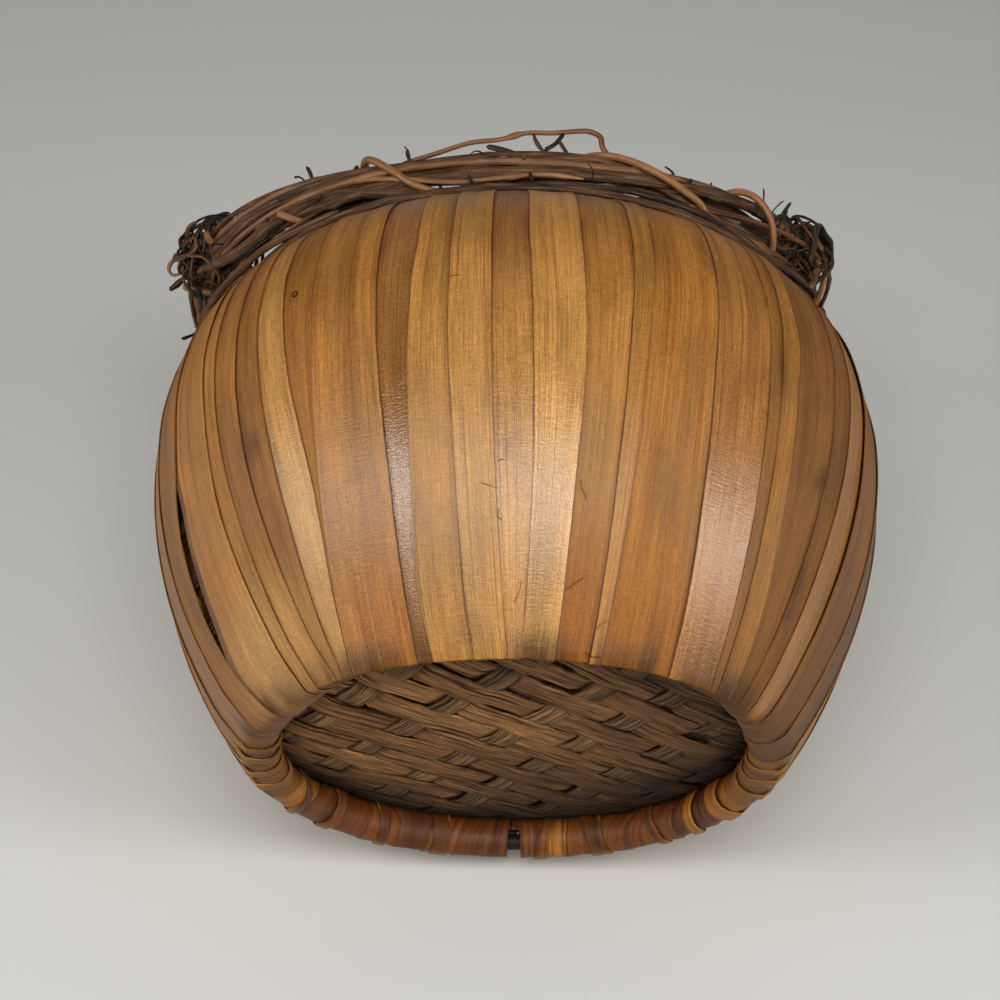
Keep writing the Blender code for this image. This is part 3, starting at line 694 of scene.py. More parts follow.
# Dark marks: angle from the front, height in millimetres, half width in degrees, half height, strength
MARKS = (
    (51.8, 76, 0.8, 5, 0.75), (50.6, 72, 1.2, 2, 0.5), (52.3, 40, 0.7, 8, 0.8), (52.2, 30, 0.7, 3, 0.9),
    (-43.5, 78, 2.0, 6, 0.45), (-41.8, 75, 1.2, 4, 0.5), (-29.0, 2, 0.9, 4, 0.9), (-27.5, 2, 1.2, 3, 0.5),
    (-1.5, 60, 0.5, 3, 0.6), (3.2, 32, 0.5, 3, 0.5), (-13.5, 124, 0.6, 10, 0.3), (11.4, 106, 0.8, 22, 0.35),
    (22.4, 146, 0.5, 18, 0.35), (-24.8, 56, 0.4, 3, 0.4), (40.6, 106, 0.9, 16, 0.5),
    (36.0, 126, 0.6, 24, 0.3), (25.0, 9, 3.5, 7, 0.35), (-9.0, 8, 3.0, 5, 0.3), (12.0, 7, 2.0, 5, 0.35),
    (37.0, 10, 4.0, 6, 0.3),
)
DARK_TOPPED, WARM_TOPPED = 11, 12  # splits that change their tone above
DEEP_LOW = {7: 0.55, 13: 0.95, 15: 0.55}  # splits of a deeper tone low down, and how much of it


def split_tone(number, angle, height, tone):
    """Colour of a split's wood at a place, before its seams."""
    if number == DARK_TOPPED:
        tone = blend(tone, TOP_STAIN, 0.95 * ease(92 * MM, 144 * MM, height + 9 * MM * wander(angle, 0.5, 3)))
        tone = blend(tone, STAIN, 0.35 * ease(140 * MM, 168 * MM, height + 6 * MM * wander(angle, 0.9, 5)))
    if number == WARM_TOPPED:
        tone = blend(tone, HONEY, 0.5 * ease(96 * MM, 140 * MM, height))
    turned = angle_from_front(angle)
    for mark_angle, mark_height, half_width, half_height, strength in MARKS:
        far = ((turned - mark_angle) / half_width) ** 2
        far += ((height - mark_height * MM) / (half_height * MM)) ** 2
        if far < 6:
            tone = blend(tone, STAIN, strength * exp(-far))
    # Painted window light: the wood is paler low down at the left front.
    window_lit = (1 - ease(14 * MM, 46 * MM, height)) * exp(-(((turned + 50) / 15) ** 2))
    tone = blend(tone, PAINTED_WINDOW_LIGHT, 0.6 * window_lit)
    if number in DEEP_LOW:
        tone = blend(tone, DEEP_ORANGE, DEEP_LOW[number] * (1 - ease(18 * MM, 60 * MM, height)))
    soiled = 0.55 + 1.5 * wander(angle, 0.16, 9) + 0.5 * wander(angle, 0.9, 2)
    soiled *= 1 - ease(1.5 * MM, 11 * MM, height)
    tone = blend(tone, blend(STAIN, BROWN, 0.2), min(max(soiled, 0.04), 0.9))
    # Painted shade: up the shoulder the woods turn to an even darker brown, and darker still under the
    # wreath, where the wall turns away from the lights.
    tone = blend(tone, BROWN, 0.45 * ease(112 * MM, 150 * MM, height))
    return blend(tone, DULL, 0.3 * ease(150 * MM, 176 * MM, height))


def seam_tone(tone, from_edge, is_covered, uneven, height):
    """Darkens the wood beside a seam: a line where a neighbour covers it, partly painted shadow of the
    covering edge and partly the dark joint, and finely along a free edge, which also gets a thin painted
    highlight.
    """
    if is_covered:
        aged = ease(112 * MM, 150 * MM, height) * max(1.9 * uneven - 0.75, 0)
        redness = min(0.14 + 0.9 * aged, 0.85) * exp(-max(from_edge, 0) / (1.0 + 2.0 * aged))
        tone = blend(tone, SEAM_RED, redness)
        # Painted shadow of the covering edge, together with the dark joint.
        return blend(tone, SEAM_DARK, min(0.95, exp(-max(from_edge - 0.1, 0) / 0.24)) * uneven)
    # Thin painted highlight along the free edge, then a fine dark line.
    tone = blend(tone, PALE_EDGE, 0.5 * exp(-from_edge / 0.3) * max(3 * uneven - 2.0, 0))
    return blend(tone, SEAM_DARK, 0.35 * exp(-from_edge / 0.2) * uneven)


RING_TONES = (ink(170, 106, 27), ink(108, 57, 9), ink(136, 78, 14), ink(91, 47, 8), ink(122, 67, 11))
RIPPLE = 0.12 * MM
TWIST = 0.14 * MM
FLATNESS = 0.7  # 1 for a split that is flat across, 0 for one that follows the wall's round
STAND_OFF = 0.5 * MM
RING_PUFF = 0.9 * MM  # how much a split bulges between its edges where it is wrapped round the foot
RING_GLOSS = 0.38
ON_RING = 0.7  # from this foot value on, the wood lies on the foot ring


def angle_from_front(angle):
    """An angle in degrees brought between -180 and 180."""
    return (angle + 180) % 360 - 180


def ring_share(angle):
    """1 behind, where the foot ring is seen from inside, and 0 in front."""
    return ease(95, 125, abs(angle_from_front(angle)))


def ring_tone(number, across, angle, foot, ring, wood):
    """Colour of the wood on the foot ring: its own at the sides, wear-marked and creased behind, dark in
    front, with painted shade up its inner side.
    """
    bearing = angle_from_front(angle)
    side = side_share(bearing)
    back = ring_share(angle)
    tone = blend(blend(wood, STAIN, 0.75), blend(wood, UMBER, 0.6), side)
    tone = blend(tone, ring, back)
    line = max(wander(across, 900, number + 0.7) - 0.12, 0) * 2.4
    line += max(wander(across, 300, number + 0.2) - 0.1, 0)
    tone = blend(tone, SEAM_DARK, min(line, 0.75) * max(back, 0.6 * side))
    # Painted shade up the foot ring's inner side, deeper still further in.
    tone = blend(tone, RING_INSIDE_SHADE, min(0.8 * max(foot - 1.15, 0), 1))
    return blend(tone, STAIN, 0.5 * ease(1.9, 2.8, foot))


def wood_of(number, rng):
    """Tone and gloss of a split's wood."""
    if number < len(FRONT_WOODS):
        first, second, share, gloss = FRONT_WOODS[number]
        return blend(first, second, share), gloss
    wood = blend(rng.choice((HONEY, RUSSET, SAND, BROWN)), BROWN, rng.uniform(0.1, 0.5))
    gloss = rng.uniform(0.2, 0.8)
    # Painted shade: the splits behind that are nearest the sides grow darker towards them, like the dark
    # woods at both ends in front.
    from_sides = min(number - len(FRONT_WOODS), len(SEAMS) - 1 - number)
    return blend(wood, UMBER, max(0.7 - 0.2 * from_sides, 0)), gloss


def lap_lift(number, share):
    """How far out a split lies across its width, from 0 at an edge that is covered to 1 at one on top."""
    left = 0.5 if side_on_top(number) == "left" else -0.5
    right = 0.5 if side_on_top(number + 1) == "right" else -0.5
    return 0.5 - left * max(1 - 2 * share, 0) - right * max(2 * share - 1, 0)


def shine_at(angle, height, foot, gloss):
    """Gloss of a split's wood at a place: less near the top, and the ring's own on the foot ring."""
    if foot > 0.3:
        shine = RING_GLOSS * max(0.35 * side_share(angle_from_front(angle)), ring_share(angle))
        return shine * (1 - ease(1.2, 1.9, foot))
    return gloss * (1 - 0.75 * ease(92 * MM, 132 * MM, height))


def finish_split(piece, tones, node):
    """Paints, thickens and settles a split or a band of its wood."""
    paint(piece, in_order(tones))
    thicken(piece, SPLIT_THICKNESS, -1, EDGE_ROUND)
    smooth(piece)
    settle(piece, SPLIT_WOOD, "split_wood", node)


def make_split(number):
    """One split, nearly flat across and bent up the wall, folded round the foot and rim hoops."""
    rng = Random(40 + number)
    place_at, row_count = split_section(rng)
    middle = (seam_angle(number, 0) + seam_angle(number + 1, 0)) / 2
    covered_left = side_on_top(number) == "left"
    covered_right = side_on_top(number + 1) == "right"
    shares = column_shares(number)
    under_left, under_right, width = covered_parts(number)
    wood, gloss = wood_of(number, rng)
    ring = rng.choice(RING_TONES)
    crease = rng.uniform(0.25, 0.5) * MM
    skew = rng.uniform(-0.5, 0.5) * MM
    foot_shift = rng.uniform(-0.10, 0.30) * MM
    points, tones = {}, {}
    length, last = 0, None
    for row in range(row_count):
        place = place_at(row, middle)
        near_foot = 1 - ease(2 * MM, 13 * MM, place.height)
        left, right = split_edges(number, place.height, near_foot, place.foot)
        half = radians(right - left) / 2
        here = place.raised(0)
        if last:
            length += hypot(here[0] - last[0], here[1] - last[1])
        last = here
        ripple = RIPPLE * wander(length, 30, number + 0.1) + near_foot * foot_shift
        twist = TWIST * wander(length, 14, number + 0.6)
        sag = here[0] * (1 / cos(half) - 1)
        for column, share in enumerate(shares):
            lift = lap_lift(number, share)
            if place.foot:
                lift = max(lift, 0.5)
            rise = LOW_FACE + lift * LAP_LIFT + ripple + twist * (2 * share - 1)
            rise += FLATNESS * (here[0] * (1 / cos(half * (2 * share - 1)) - 1) - sag / 2)
            if place.foot > ON_RING:
                rise += RING_PUFF * (0.7 - (2 * share - 1) ** 4) + skew * (2 * share - 1)
                rise += crease * wander(share * width, 480, number + 0.2 * place.foot)
            if number == STANDING_SPLIT and share < 0.5:
                rise += STAND_OFF * (1 - share * 2) * ease(10 * MM, 60 * MM, place.height)
            angle = left + (right - left) * share
            radius, height = place_at(row, angle).raised(rise)
            above_table = max(height, 0) if place.foot < 2 else height
            points[column, row] = around(radius, above_table, angle)
            if place.foot > ON_RING:
                tone = ring_tone(number, share * width, angle, place.foot, ring, wood)
            else:
                tone = split_tone(number, angle, height, wood)
            uneven = 0.72 + 0.35 * wander(length, 70, number + share)
            tone = seam_tone(tone, (share - under_left) * width / MM, covered_left, uneven, height)
            tone = seam_tone(tone, (1 - under_right - share) * width / MM, covered_right, uneven, height)
            tones[column, row] = (*tone, shine_at(angle, height, place.foot, gloss))
    piece = laid_grid(f"split_{number + 1:02d}", len(shares) - 1, row_count - 1, points, (1, length),
                      (number * 0.37, number * 1.13))
    stretch_across(piece, shares, width, number * 0.37)
    finish_split(piece, tones, f"wall_split_{number + 1:02d}")


def stretch_across(piece, shares, width, shift):
    """Sets the UV map across a piece whose columns are unevenly spaced."""
    last = len(shares) - 1
    for corner in piece.data.uv_layers.active.data:
        column = min(max(round((corner.uv.x - shift) * last), 0), last)
        corner.uv = (shares[column] * width + shift, corner.uv.y)


def make_splits():
    for number in range(len(SEAMS)):
        make_split(number)


# Short bands wrapped over the foot ring: angle from the front, width and lift in millimetres, lean in degrees
WRAP_BANDS = (
    (-80.5, 3.4, 0.9, 2.0), (-87.0, 4.6, 1.3, -2.5), (-94.5, 3.8, 0.9, 3.0), (-103.0, 5.6, 1.2, -1.5),
    (-118.0, 4.4, 0.9, 4.0), (-131.0, 6.0, 1.1, -3.0), (-147.0, 4.6, 0.8, 2.5), (-162.5, 7.5, 1.0, 1.0),
    (172.0, 5.0, 0.9, -3.0), (158.0, 8.0, 1.1, 2.0), (141.5, 4.2, 0.9, 4.0), (130.0, 5.2, 1.0, -3.5),
    (118.0, 9.0, 1.2, 2.0), (103.5, 4.0, 0.9, -4.0), (96.0, 5.4, 1.4, 3.0), (88.5, 3.6, 1.0, -2.0),
)
BAND_COLUMNS = 8
BAND_ROWS_ON_WALL = (5.2, 4.3)  # heights in millimetres, from its hidden start down
BAND_LENGTH = 30 * MM


def make_wrap_band(number, angle, width, lift, lean):
    """A short narrow band that comes out from between the splits and is wrapped round the foot ring."""
    rng = Random(500 + number)
    ring = rng.choice(RING_TONES)
    rows = [(outer_place(height * MM), None) for height in BAND_ROWS_ON_WALL]
    rows += [(None, step) for step in reversed(range(len(FRONT_FOOT)))]
    points, tones = {}, {}
    for row, (place, step) in enumerate(rows):
        along = row / (len(rows) - 1)
        half = width * (1 + 0.12 * wander(along, 4, number)) / 2
        for column in range(BAND_COLUMNS + 1):
            share = column / BAND_COLUMNS
            here_angle = angle + lean * (along - 0.4) + (2 * share - 1) * half / 95 * 180 / pi
            here = tucked_in(place, here_angle) if place else foot_at(step, here_angle, 0, 0)
            rise = LOW_FACE + 0.5 * LAP_LIFT + (0.7 * RING_PUFF if step is not None else 0)
            rise += 0.65 * lift * MM * ease(0.02, 0.3, along) - (1.8 * MM if row == 0 else 0)
            rise += 0.35 * MM * (0.5 - (2 * share - 1) ** 4) + 0.2 * MM * wander(share, 3, number + 0.4)
            radius, height = here.raised(rise)
            if here.foot < 2:
                height = max(height, 0.02 * MM)
            points[column, row] = around(radius, height, here_angle)
            foot = here.foot if step is not None else 0.8
            tone = ring_tone(number, share * width * MM, here_angle, foot, ring, BROWN)
            tone = blend(blend(BROWN, HONEY, 0.4), tone, ease(0.1, 0.42, along))
            worn_edge = max(wander(along, 5, number + share), 0)
            tone = blend(tone, PALE_EDGE, worn_edge * ease(0.8, 1, abs(2 * share - 1)))
            shine = RING_GLOSS * (0.35 + 0.65 * ring_share(here_angle)) * (1 - ease(1.2, 1.9, foot))
            tones[column, row] = (*tone, shine)
    size = (width * MM, BAND_LENGTH)
    band = laid_grid(f"wrap_band_{number + 1}", BAND_COLUMNS, len(rows) - 1, points, size,
                     (number * 0.41, number * 0.9))
    finish_split(band, tones, f"wall_split_{split_under(angle):02d}")


def split_under(angle):
    """Number, from 1, of the split at an angle on the foot ring."""
    count = len(SEAMS)
    for number in range(-count, count):
        if seam_angle(number, 0) <= angle < seam_angle(number + 1, 0):
            return number % count + 1
    return count


def make_wrap_bands():
    for number, band in enumerate(WRAP_BANDS):
        make_wrap_band(number, *band)


# Hoops


def make_hoop(name, centre, core, tone, node):
    """A round rod bent into a hoop, a little uneven, as a grid closed along both ways."""
    around_steps, sides = 160, 12
    points = {}
    for step in range(around_steps + 1):
        turn = tau * step / around_steps
        for side in range(sides + 1):
            angle = tau * side / sides
            thick = core * (1 + 0.03 * noise.noise(Vector((cos(turn) * 9, sin(turn) * 9, 3 * cos(angle)))))
            radius = centre[0] + thick * cos(angle)
            height = centre[1] - thick * sin(angle)
            points[side, step] = Vector((radius * cos(turn), radius * sin(turn), height))
    hoop = laid_grid(name, sides, around_steps, points, (tau * core, tau * centre[0]))
    close_seams(hoop)
    paint(hoop, tone)
    smooth(hoop, 60)
    settle(hoop, CORE_WOOD, "hoop_wood", node)


# Plaited base and liner

# Close strips of the base: offset from the middle in millimetres and extra slant in degrees
CLOSE_STRIPS = (
    (-88, 8), (-77, 8), (-65, 8), (-53, 7.5), (-41, 5.5), (-26.8, 2.8), (-13.2, 3.6), (0.4, 1.5), (13.4, 0),
    (25.0, -1.5), (37.0, -2.2), (47.6, -2.5), (58.5, -2.5), (70.0, -2.2), (81.5, -2),
)
WIDE_STRIPS = (-67.0, -38.0, -5.5, 21.0, 50.5, 80.0)
WIDE_WIDTH = 10.5 * MM
STRIP_THICKNESS = 0.7 * MM
WEAVE_RISE = 0.7 * MM
BASE_EDGE = 92 * MM
# How far the base has turned up at a distance from its middle, in millimetres
BASE_DISH = ((62, 0), (72, 0.4), (80, 1.3), (86, 2.4), (91, 3.8), (96, 6.0))
# Dark gaps between close strips: place along and across them, half length and width, in millimetres
BASE_GAPS = (
    (-19.3, -21.0, 10, 3.2), (-57, -24, 9, 3.0), (-30.7, -60, 10, 3.2), (-15.1, -47, 9, 2.8),
    (25.2, -33, 14, 3.0), (48.6, -41, 9, 3.6), (-38, 20, 8, 1.8), (10, 31, 10, 1.8), (-8, 52, 9, 2.6),
    (34, 42, 8, 2.6), (-46, 54, 7, 3.2), (20, 63, 8, 3.0), (-62, 8, 7, 2.2),
)
STRIP_TONE = ink(158, 112, 70)
PATCH_TONE = ink(138, 104, 70)


def base_plan(along, across):
    """A point of the base's plan, from lengths along and across the close strips."""
    turn = BASE_TURN
    return Vector((along * cos(turn) - across * sin(turn), along * sin(turn) + across * cos(turn), 0))


def crossing_wave(along, stops, flip):
    """+1 at every other crossing and -1 between them."""
    for index, (low, high) in enumerate(zip(stops, stops[1:])):
        if along <= high or index == len(stops) - 2:
            wave = cos(pi * min(max((along - low) / (high - low), 0), 1))
            return wave if (index + flip) % 2 == 0 else -wave
    return 0


def close_wave(along, stops, flip):
    """A close strip lies near the foot, and dives only where it passes inside a wide strip."""
    wave = -0.45
    for index, stop in enumerate(stops):
        near = 1 - ease(0.36 * WIDE_WIDTH, 0.36 * WIDE_WIDTH + 4.5 * MM, abs(along - stop))
        target = 1.25 if (index + flip) % 2 == 0 else -1.0
        wave += (target - wave) * near
    return wave


def gap_pull(along, across, side):
    """How far a close strip's edge is drawn in beside a gap; side is -1 for its lower edge, or else 1."""
    pull = 0
    for gap_along, gap_across, half_length, gap_width in BASE_GAPS:
        off = across / MM - gap_across
        if abs(off) < 6.5:
            pull += 0.5 * gap_width * MM * exp(-(((along / MM - gap_along) / half_length) ** 4))
    return -side * pull


def make_base_strip(name, index, close, rng):
    stops_close = [offset * MM for offset, _ in CLOSE_STRIPS]
    stops_wide = [offset * MM for offset in WIDE_STRIPS]
    if close:
        offset, slant = CLOSE_STRIPS[index]
        offset *= MM
        before = stops_close[max(index - 1, 0)]
        after = stops_close[min(index + 1, len(stops_close) - 1)]
        width = (after - before) / 2 if 0 < index < len(stops_close) - 1 else 11 * MM
        width -= 0.3 * MM
        tilt = radians(slant)
    else:
        offset = stops_wide[index]
        width = WIDE_WIDTH * rng.uniform(0.92, 1.04)
        tilt = radians(rng.uniform(-2, 2))
    reach = sqrt(max(BASE_EDGE ** 2 - offset ** 2, (14 * MM) ** 2))
    steps = int(2 * reach / (1.8 * MM))
    across = 16
    points, tones = {}, {}
    tone = blend(STRIP_TONE if close else PATCH_TONE, NEAR_BLACK, rng.uniform(0, 0.3))
    seed = index + (0.5 if close else 0.1)
    for row in range(steps + 1):
        along = -reach + 2 * reach * row / steps
        drift = offset + (along - 4 * MM) * sin(tilt) + 0.7 * MM * wander(along, 26, seed)
        for column in range(across + 1):
            share = column / across
            side = (share - 0.5) * width
            if column in (0, across):
                side += 0.6 * MM * wander(along, 150, seed + share * 3)
            if close:
                if column in (0, 1, across - 1, across):
                    side += gap_pull(along, drift + side, -1 if share < 0.5 else 1)
                plan = base_plan(along, drift + side)
                wave = close_wave(along, stops_wide, index + 1)
            else:
                plan = base_plan(drift + side, -along)
                wave = max(-1, min(1, 1.8 * crossing_wave(-along, stops_close, index)))
            radius = plan.length
            level = BASE_LEVEL + wave * WEAVE_RISE + between(BASE_DISH, radius / MM) * MM
            level += 0.45 * MM * wander(along, 45, seed + 2) + 0.15 * MM * (2 * share - 1) ** 2
            level += 0.36 * MM * noise.noise(Vector((along * 40, share * 9, seed * 5)))
            level += 0.30 * MM * noise.noise(Vector((along * 70, share * 26, seed * 5)))
            points[column, row] = Vector((plan.x, plan.y, level))
            # Painted shade: darker towards the foot ring, the back and the right, at the strips' edges and
            # where a strip dives under a crossing, with random mottling.
            shade_and_mottle = 0.4 * ease(68 * MM, 88 * MM, radius) + 0.22 * ease(0.82, 1, abs(2 * share - 1))
            shade_and_mottle += 0.5 * ease(-0.3, 0.8, wave) + 0.8 * ease(-15 * MM, 85 * MM, plan.y)
            shade_and_mottle += 0.48 * ease(5 * MM, 80 * MM, plan.x)
            shade_and_mottle += 0.25 * noise.noise(Vector((plan.x * 22, plan.y * 22, 3)))
            tones[column, row] = blend(tone, NEAR_BLACK, min(max(shade_and_mottle, 0), 0.92))
    strip = laid_grid(name, across, steps, points, (width, 2 * reach), (index * 0.21, index * 0.77))
    paint(strip, in_order(tones))
    thicken(strip, STRIP_THICKNESS, 0, 0)
    smooth(strip)
    settle(strip, STRIP_FIBRE, "liner_wood", "woven_liner")


LINER_INSET = 2.6 * MM
LINER_FOOT_INSET = 2.2 * MM  # how much further in its foot is
UPRIGHTS = 40
WEAVER_ROWS = 15
WEAVE_FROM = 15 * MM
UPRIGHT_FROM = 13 * MM
UPRIGHT_WIDTH = 8.5 * MM
UPRIGHT_STEPS = 34
LINER_STRIP = 0.8 * MM


def liner_radius(height):
    """Mean radius of the liner's wall, inside the splits."""
    return outer_place(height).radius - LINER_INSET - LINER_FOOT_INSET * (1 - ease(14 * MM, 30 * MM, height))


def finish_liner(strips, name, tone):
    """Joins the liner's strips of one kind into a piece of one tone."""
    piece = join(strips, name)
    paint(piece, tone)
    smooth(piece)
    settle(piece, STRIP_FIBRE, "liner_wood", "woven_liner")


def make_uprights():
    strips = []
    for number in range(UPRIGHTS):
        middle = 360 * number / UPRIGHTS
        points = {}
        for row in range(UPRIGHT_STEPS + 1):
            height = UPRIGHT_FROM + (LINER_TOP - UPRIGHT_FROM) * row / UPRIGHT_STEPS
            phase = (height - WEAVE_FROM) / (LINER_TOP - WEAVE_FROM) * WEAVER_ROWS
            radius = liner_radius(height)
            if height > WEAVE_FROM:
                radius += cos(pi * (phase + number)) * 0.7 * MM
            for column in range(4):
                side = (column / 3 - 0.5) * UPRIGHT_WIDTH
                lean = side / radius * 180 / pi + 1.2 * wander(height, 9, number)
                points[column, row] = around(radius, height, middle + lean)
        strip = laid_grid(f"upright_{number}", 3, UPRIGHT_STEPS, points, (UPRIGHT_WIDTH, 0.14),
                          (number * 0.31, number * 0.9))
        thicken(strip, LINER_STRIP, 0, 0)
        strips.append(strip)
    finish_liner(strips, "liner_uprights", blend(STRIP_TONE, PATCH_TONE, 0.5))


def make_weavers():
    strips = []
    pitch = (LINER_TOP - WEAVE_FROM) / WEAVER_ROWS
    for row in range(WEAVER_ROWS):
        middle = WEAVE_FROM + pitch * (row + 0.5)
        steps = UPRIGHTS * 4
        points = {}
        for step in range(steps + 1):
            turn = step % steps
            wave = -cos(pi * (row + 0.5 + turn / 4 + 0.5)) * 0.75 * MM
            for column in range(3):
                height = middle + (column / 2 - 0.5) * (pitch - 1.0 * MM)
                height += 0.5 * MM * wander(turn, 0.11, row)
                points[step, column] = around(liner_radius(height) + wave, height, 360 * turn / steps)
        strip = laid_grid(f"weaver_{row}", steps, 2, points, (0.8, pitch))
        for corner in strip.data.uv_layers.active.data:
            corner.uv = (corner.uv.y + row * 0.3, corner.uv.x + row * 0.7)
        close_seams(strip, False)
        thicken(strip, LINER_STRIP, 0, 0)
        strips.append(strip)
    finish_liner(strips, "liner_weavers", blend(STRIP_TONE, NEAR_BLACK, 0.15))


def make_liner():
    rng = Random(5)
    for index in range(len(CLOSE_STRIPS)):
        make_base_strip(f"base_close_{index + 1:02d}", index, True, rng)
    for index in range(len(WIDE_STRIPS)):
        make_base_strip(f"base_wide_{index + 1:02d}", index, False, rng)
    make_uprights()
    make_weavers()


# Vines

WREATH_X = 121.01 * MM
WREATH_Y = 101.01 * MM
WREATH_SHIFT = -3 * MM
WREATH_HEIGHT = 192.7 * MM
WREATH_SADDLE = 5.5 * MM
BUNDLE = 6 * MM
BUNDLE_TWIST = 1.25
LOW_STEM_AT = (116.6 * MM, 172.2 * MM)  # its radius and height
LOOP_POINTS = 60
LOOSE_END = 0.12  # of a loop, left open between a wound stem's ends
STEM_STEP = 2.4 * MM
CURVE_STEPS = 12
CLUMP_STEMS = 120
ROOTLETS = 110

BARK_BROWN = ink(104, 72, 48)
BARK_RED = ink(116, 74, 46)
BARK_DARK = ink(64, 45, 33)
BARK_BLACK = ink(36, 26, 20)
TWIG_GREY = ink(70, 60, 54)
BINDER_TAN = ink(152, 104, 62)
YOUNG_BROWN = ink(128, 86, 52)


def wreath_point(turn, out, bundle_angle):
    """A point of the wreath: turn runs round the mouth from +X, the rest is a place across the bundle."""
    outward = Vector((cos(turn), sin(turn), 0))
    centre = Vector((WREATH_X * cos(turn) + WREATH_SHIFT, WREATH_Y * sin(turn), WREATH_HEIGHT))
    centre.z += WREATH_SADDLE * cos(2 * turn)
    return centre + out * (cos(bundle_angle) * outward + sin(bundle_angle) * Vector((0, 0, 1)))


def smooth_route(points, spacing):
    """Points at even spacing on a smooth curve through the given ones."""
    fine = []
    for index in range(len(points) - 1):
        p0 = points[max(index - 1, 0)]
        p1, p2 = points[index], points[index + 1]
        p3 = points[min(index + 2, len(points) - 1)]
        for step in range(CURVE_STEPS):
            t = step / CURVE_STEPS
            fine.append(0.5 * (2 * p1 + (p2 - p0) * t + (2 * p0 - 5 * p1 + 4 * p2 - p3) * t * t
                               + (3 * p1 - p0 - 3 * p2 + p3) * t ** 3))
    fine.append(points[-1])
    even = [fine[0]]
    for point in fine[1:]:
        while (point - even[-1]).length >= spacing:
            even.append(even[-1] + (point - even[-1]).normalized() * spacing)
    if (fine[-1] - even[-1]).length > spacing * 0.3 or len(even) < 2:
        even.append(fine[-1])
    return even


def make_tube(name, route, radius_at, sides, tone_at, seed):
    """A stem along a route. radius_at and tone_at take a share of its length and the length itself."""
    total = len(route) - 1
    spacing = (route[1] - route[0]).length
    tangents = []
    for index in range(total + 1):
        tangents.append((route[min(index + 1, total)] - route[max(index - 1, 0)]).normalized())
    side = tangents[0].orthogonal().normalized()
    points, tones = {}, {}
    for index, (centre, tangent) in enumerate(zip(route, tangents)):
        side = (side - tangent * side.dot(tangent)).normalized()
        other = tangent.cross(side)
        radius = radius_at(index / total, index * spacing)
        tone = tone_at(index / total, index * spacing)
        for step in range(sides + 1):
            angle = tau * (step % sides) / sides
            ridge = noise.noise(Vector((2.2 * cos(angle), 2.2 * sin(angle), index * spacing * 35 + seed)))
            reach = radius * (1 + 0.22 * ridge)
            points[step, index] = centre + reach * (cos(angle) * side + sin(angle) * other)
            tones[step, index] = blend(tone, BARK_BLACK, 0.45 * max(-ridge, 0))
    girth = tau * radius_at(0.5, 0)
    tube = laid_grid(name, sides, total, points, (girth, total * spacing), (seed * 0.13, seed * 0.57))
    paint(tube, in_order(tones))
    close_seams(tube)
    smooth(tube, 70)
    return tube


def jointed(radius, pitch, seed, swell=0.35):
    """Radius along a stem that swells at its joints and wavers a little."""

    def radius_at(share, length):
        nearest = abs((length / pitch + 0.37 * seed) % 1 - 0.5) * pitch
        knob = swell * exp(-((nearest / (2.2 * MM)) ** 2))
        return radius * (1 + knob + 0.14 * wander(length, 30, seed))

    return radius_at


def mottled(tone, other, seed):
    """Tone along a stem that wanders between two tones."""

    def tone_at(share, length):
        return blend(tone, other, 0.5 + 0.5 * wander(length, 22, seed))

    return tone_at


def pointed(radius_at, tip=0.15):
    """The same stem drawn out at its ends."""

    def radius(share, length):
        return radius_at(share, length) * min(1, tip + share * 12, tip + (1 - share) * 12)

    return radius


def make_thin(name, points, spacing, radius, pitch, sides, tones, seed):
    """A thin stem drawn out at its ends. Lengths are in millimetres, but for the points."""
    slim = pointed(jointed(radius * MM, pitch * MM, seed))
    return make_tube(name, smooth_route(points, spacing * MM), slim, sides, mottled(*tones, seed), seed)


def wound(loops, out, start, twist, waver, seed):
    """A route several times round the mouth that wanders within the bundle."""
    points = []
    for index in range(int(loops * LOOP_POINTS * (1 - LOOSE_END / loops)) + 1):
        turn = tau * index / LOOP_POINTS
        loose = out + waver * wander(turn, 1.6, seed)
        wavering = 0.6 * wander(turn, 1.1, seed + 5)
        points.append(wreath_point(turn + 0.4 * seed, loose, start + twist * turn + wavering))
    return smooth_route(points, STEM_STEP)


# The binder: angles round the mouth in degrees at which it crosses the bundle's front
BINDER_CROSSINGS = (-132, -106, -58, -41, -20, 14, 36, 60, 84, 111, 138, 165, 192, 210)
BINDER_OUT = 10.6 * MM
BINDER_STEPS = 14


def binder_route():
    """A spiral round the bundle, one turn between each crossing and the next."""
    points = []
    for index, (first, second) in enumerate(zip(BINDER_CROSSINGS, BINDER_CROSSINGS[1:])):
        for step in range(BINDER_STEPS):
            share = step / BINDER_STEPS
            turn = radians(first + (second - first) * (share + 0.08 * sin(tau * share)))
            out = BINDER_OUT + 0.9 * MM * wander(index + share, 0.9, 4)
            points.append(wreath_point(turn, out, radians(-40) - tau * share))
    return smooth_route(points, 1.8 * MM)


def low_route():
    """A route round the shoulder, under the bundle."""
    points = []
    for index in range(97):
        turn = 2.2 + tau * index / 98
        radius = LOW_STEM_AT[0] + 1.4 * MM * wander(turn, 1.4, 4)
        height = LOW_STEM_AT[1] + 0.6 * MM * wander(turn, 2, 8)
        points.append(Vector((radius * cos(turn), radius * sin(turn), height)))
    return smooth_route(points, STEM_STEP)


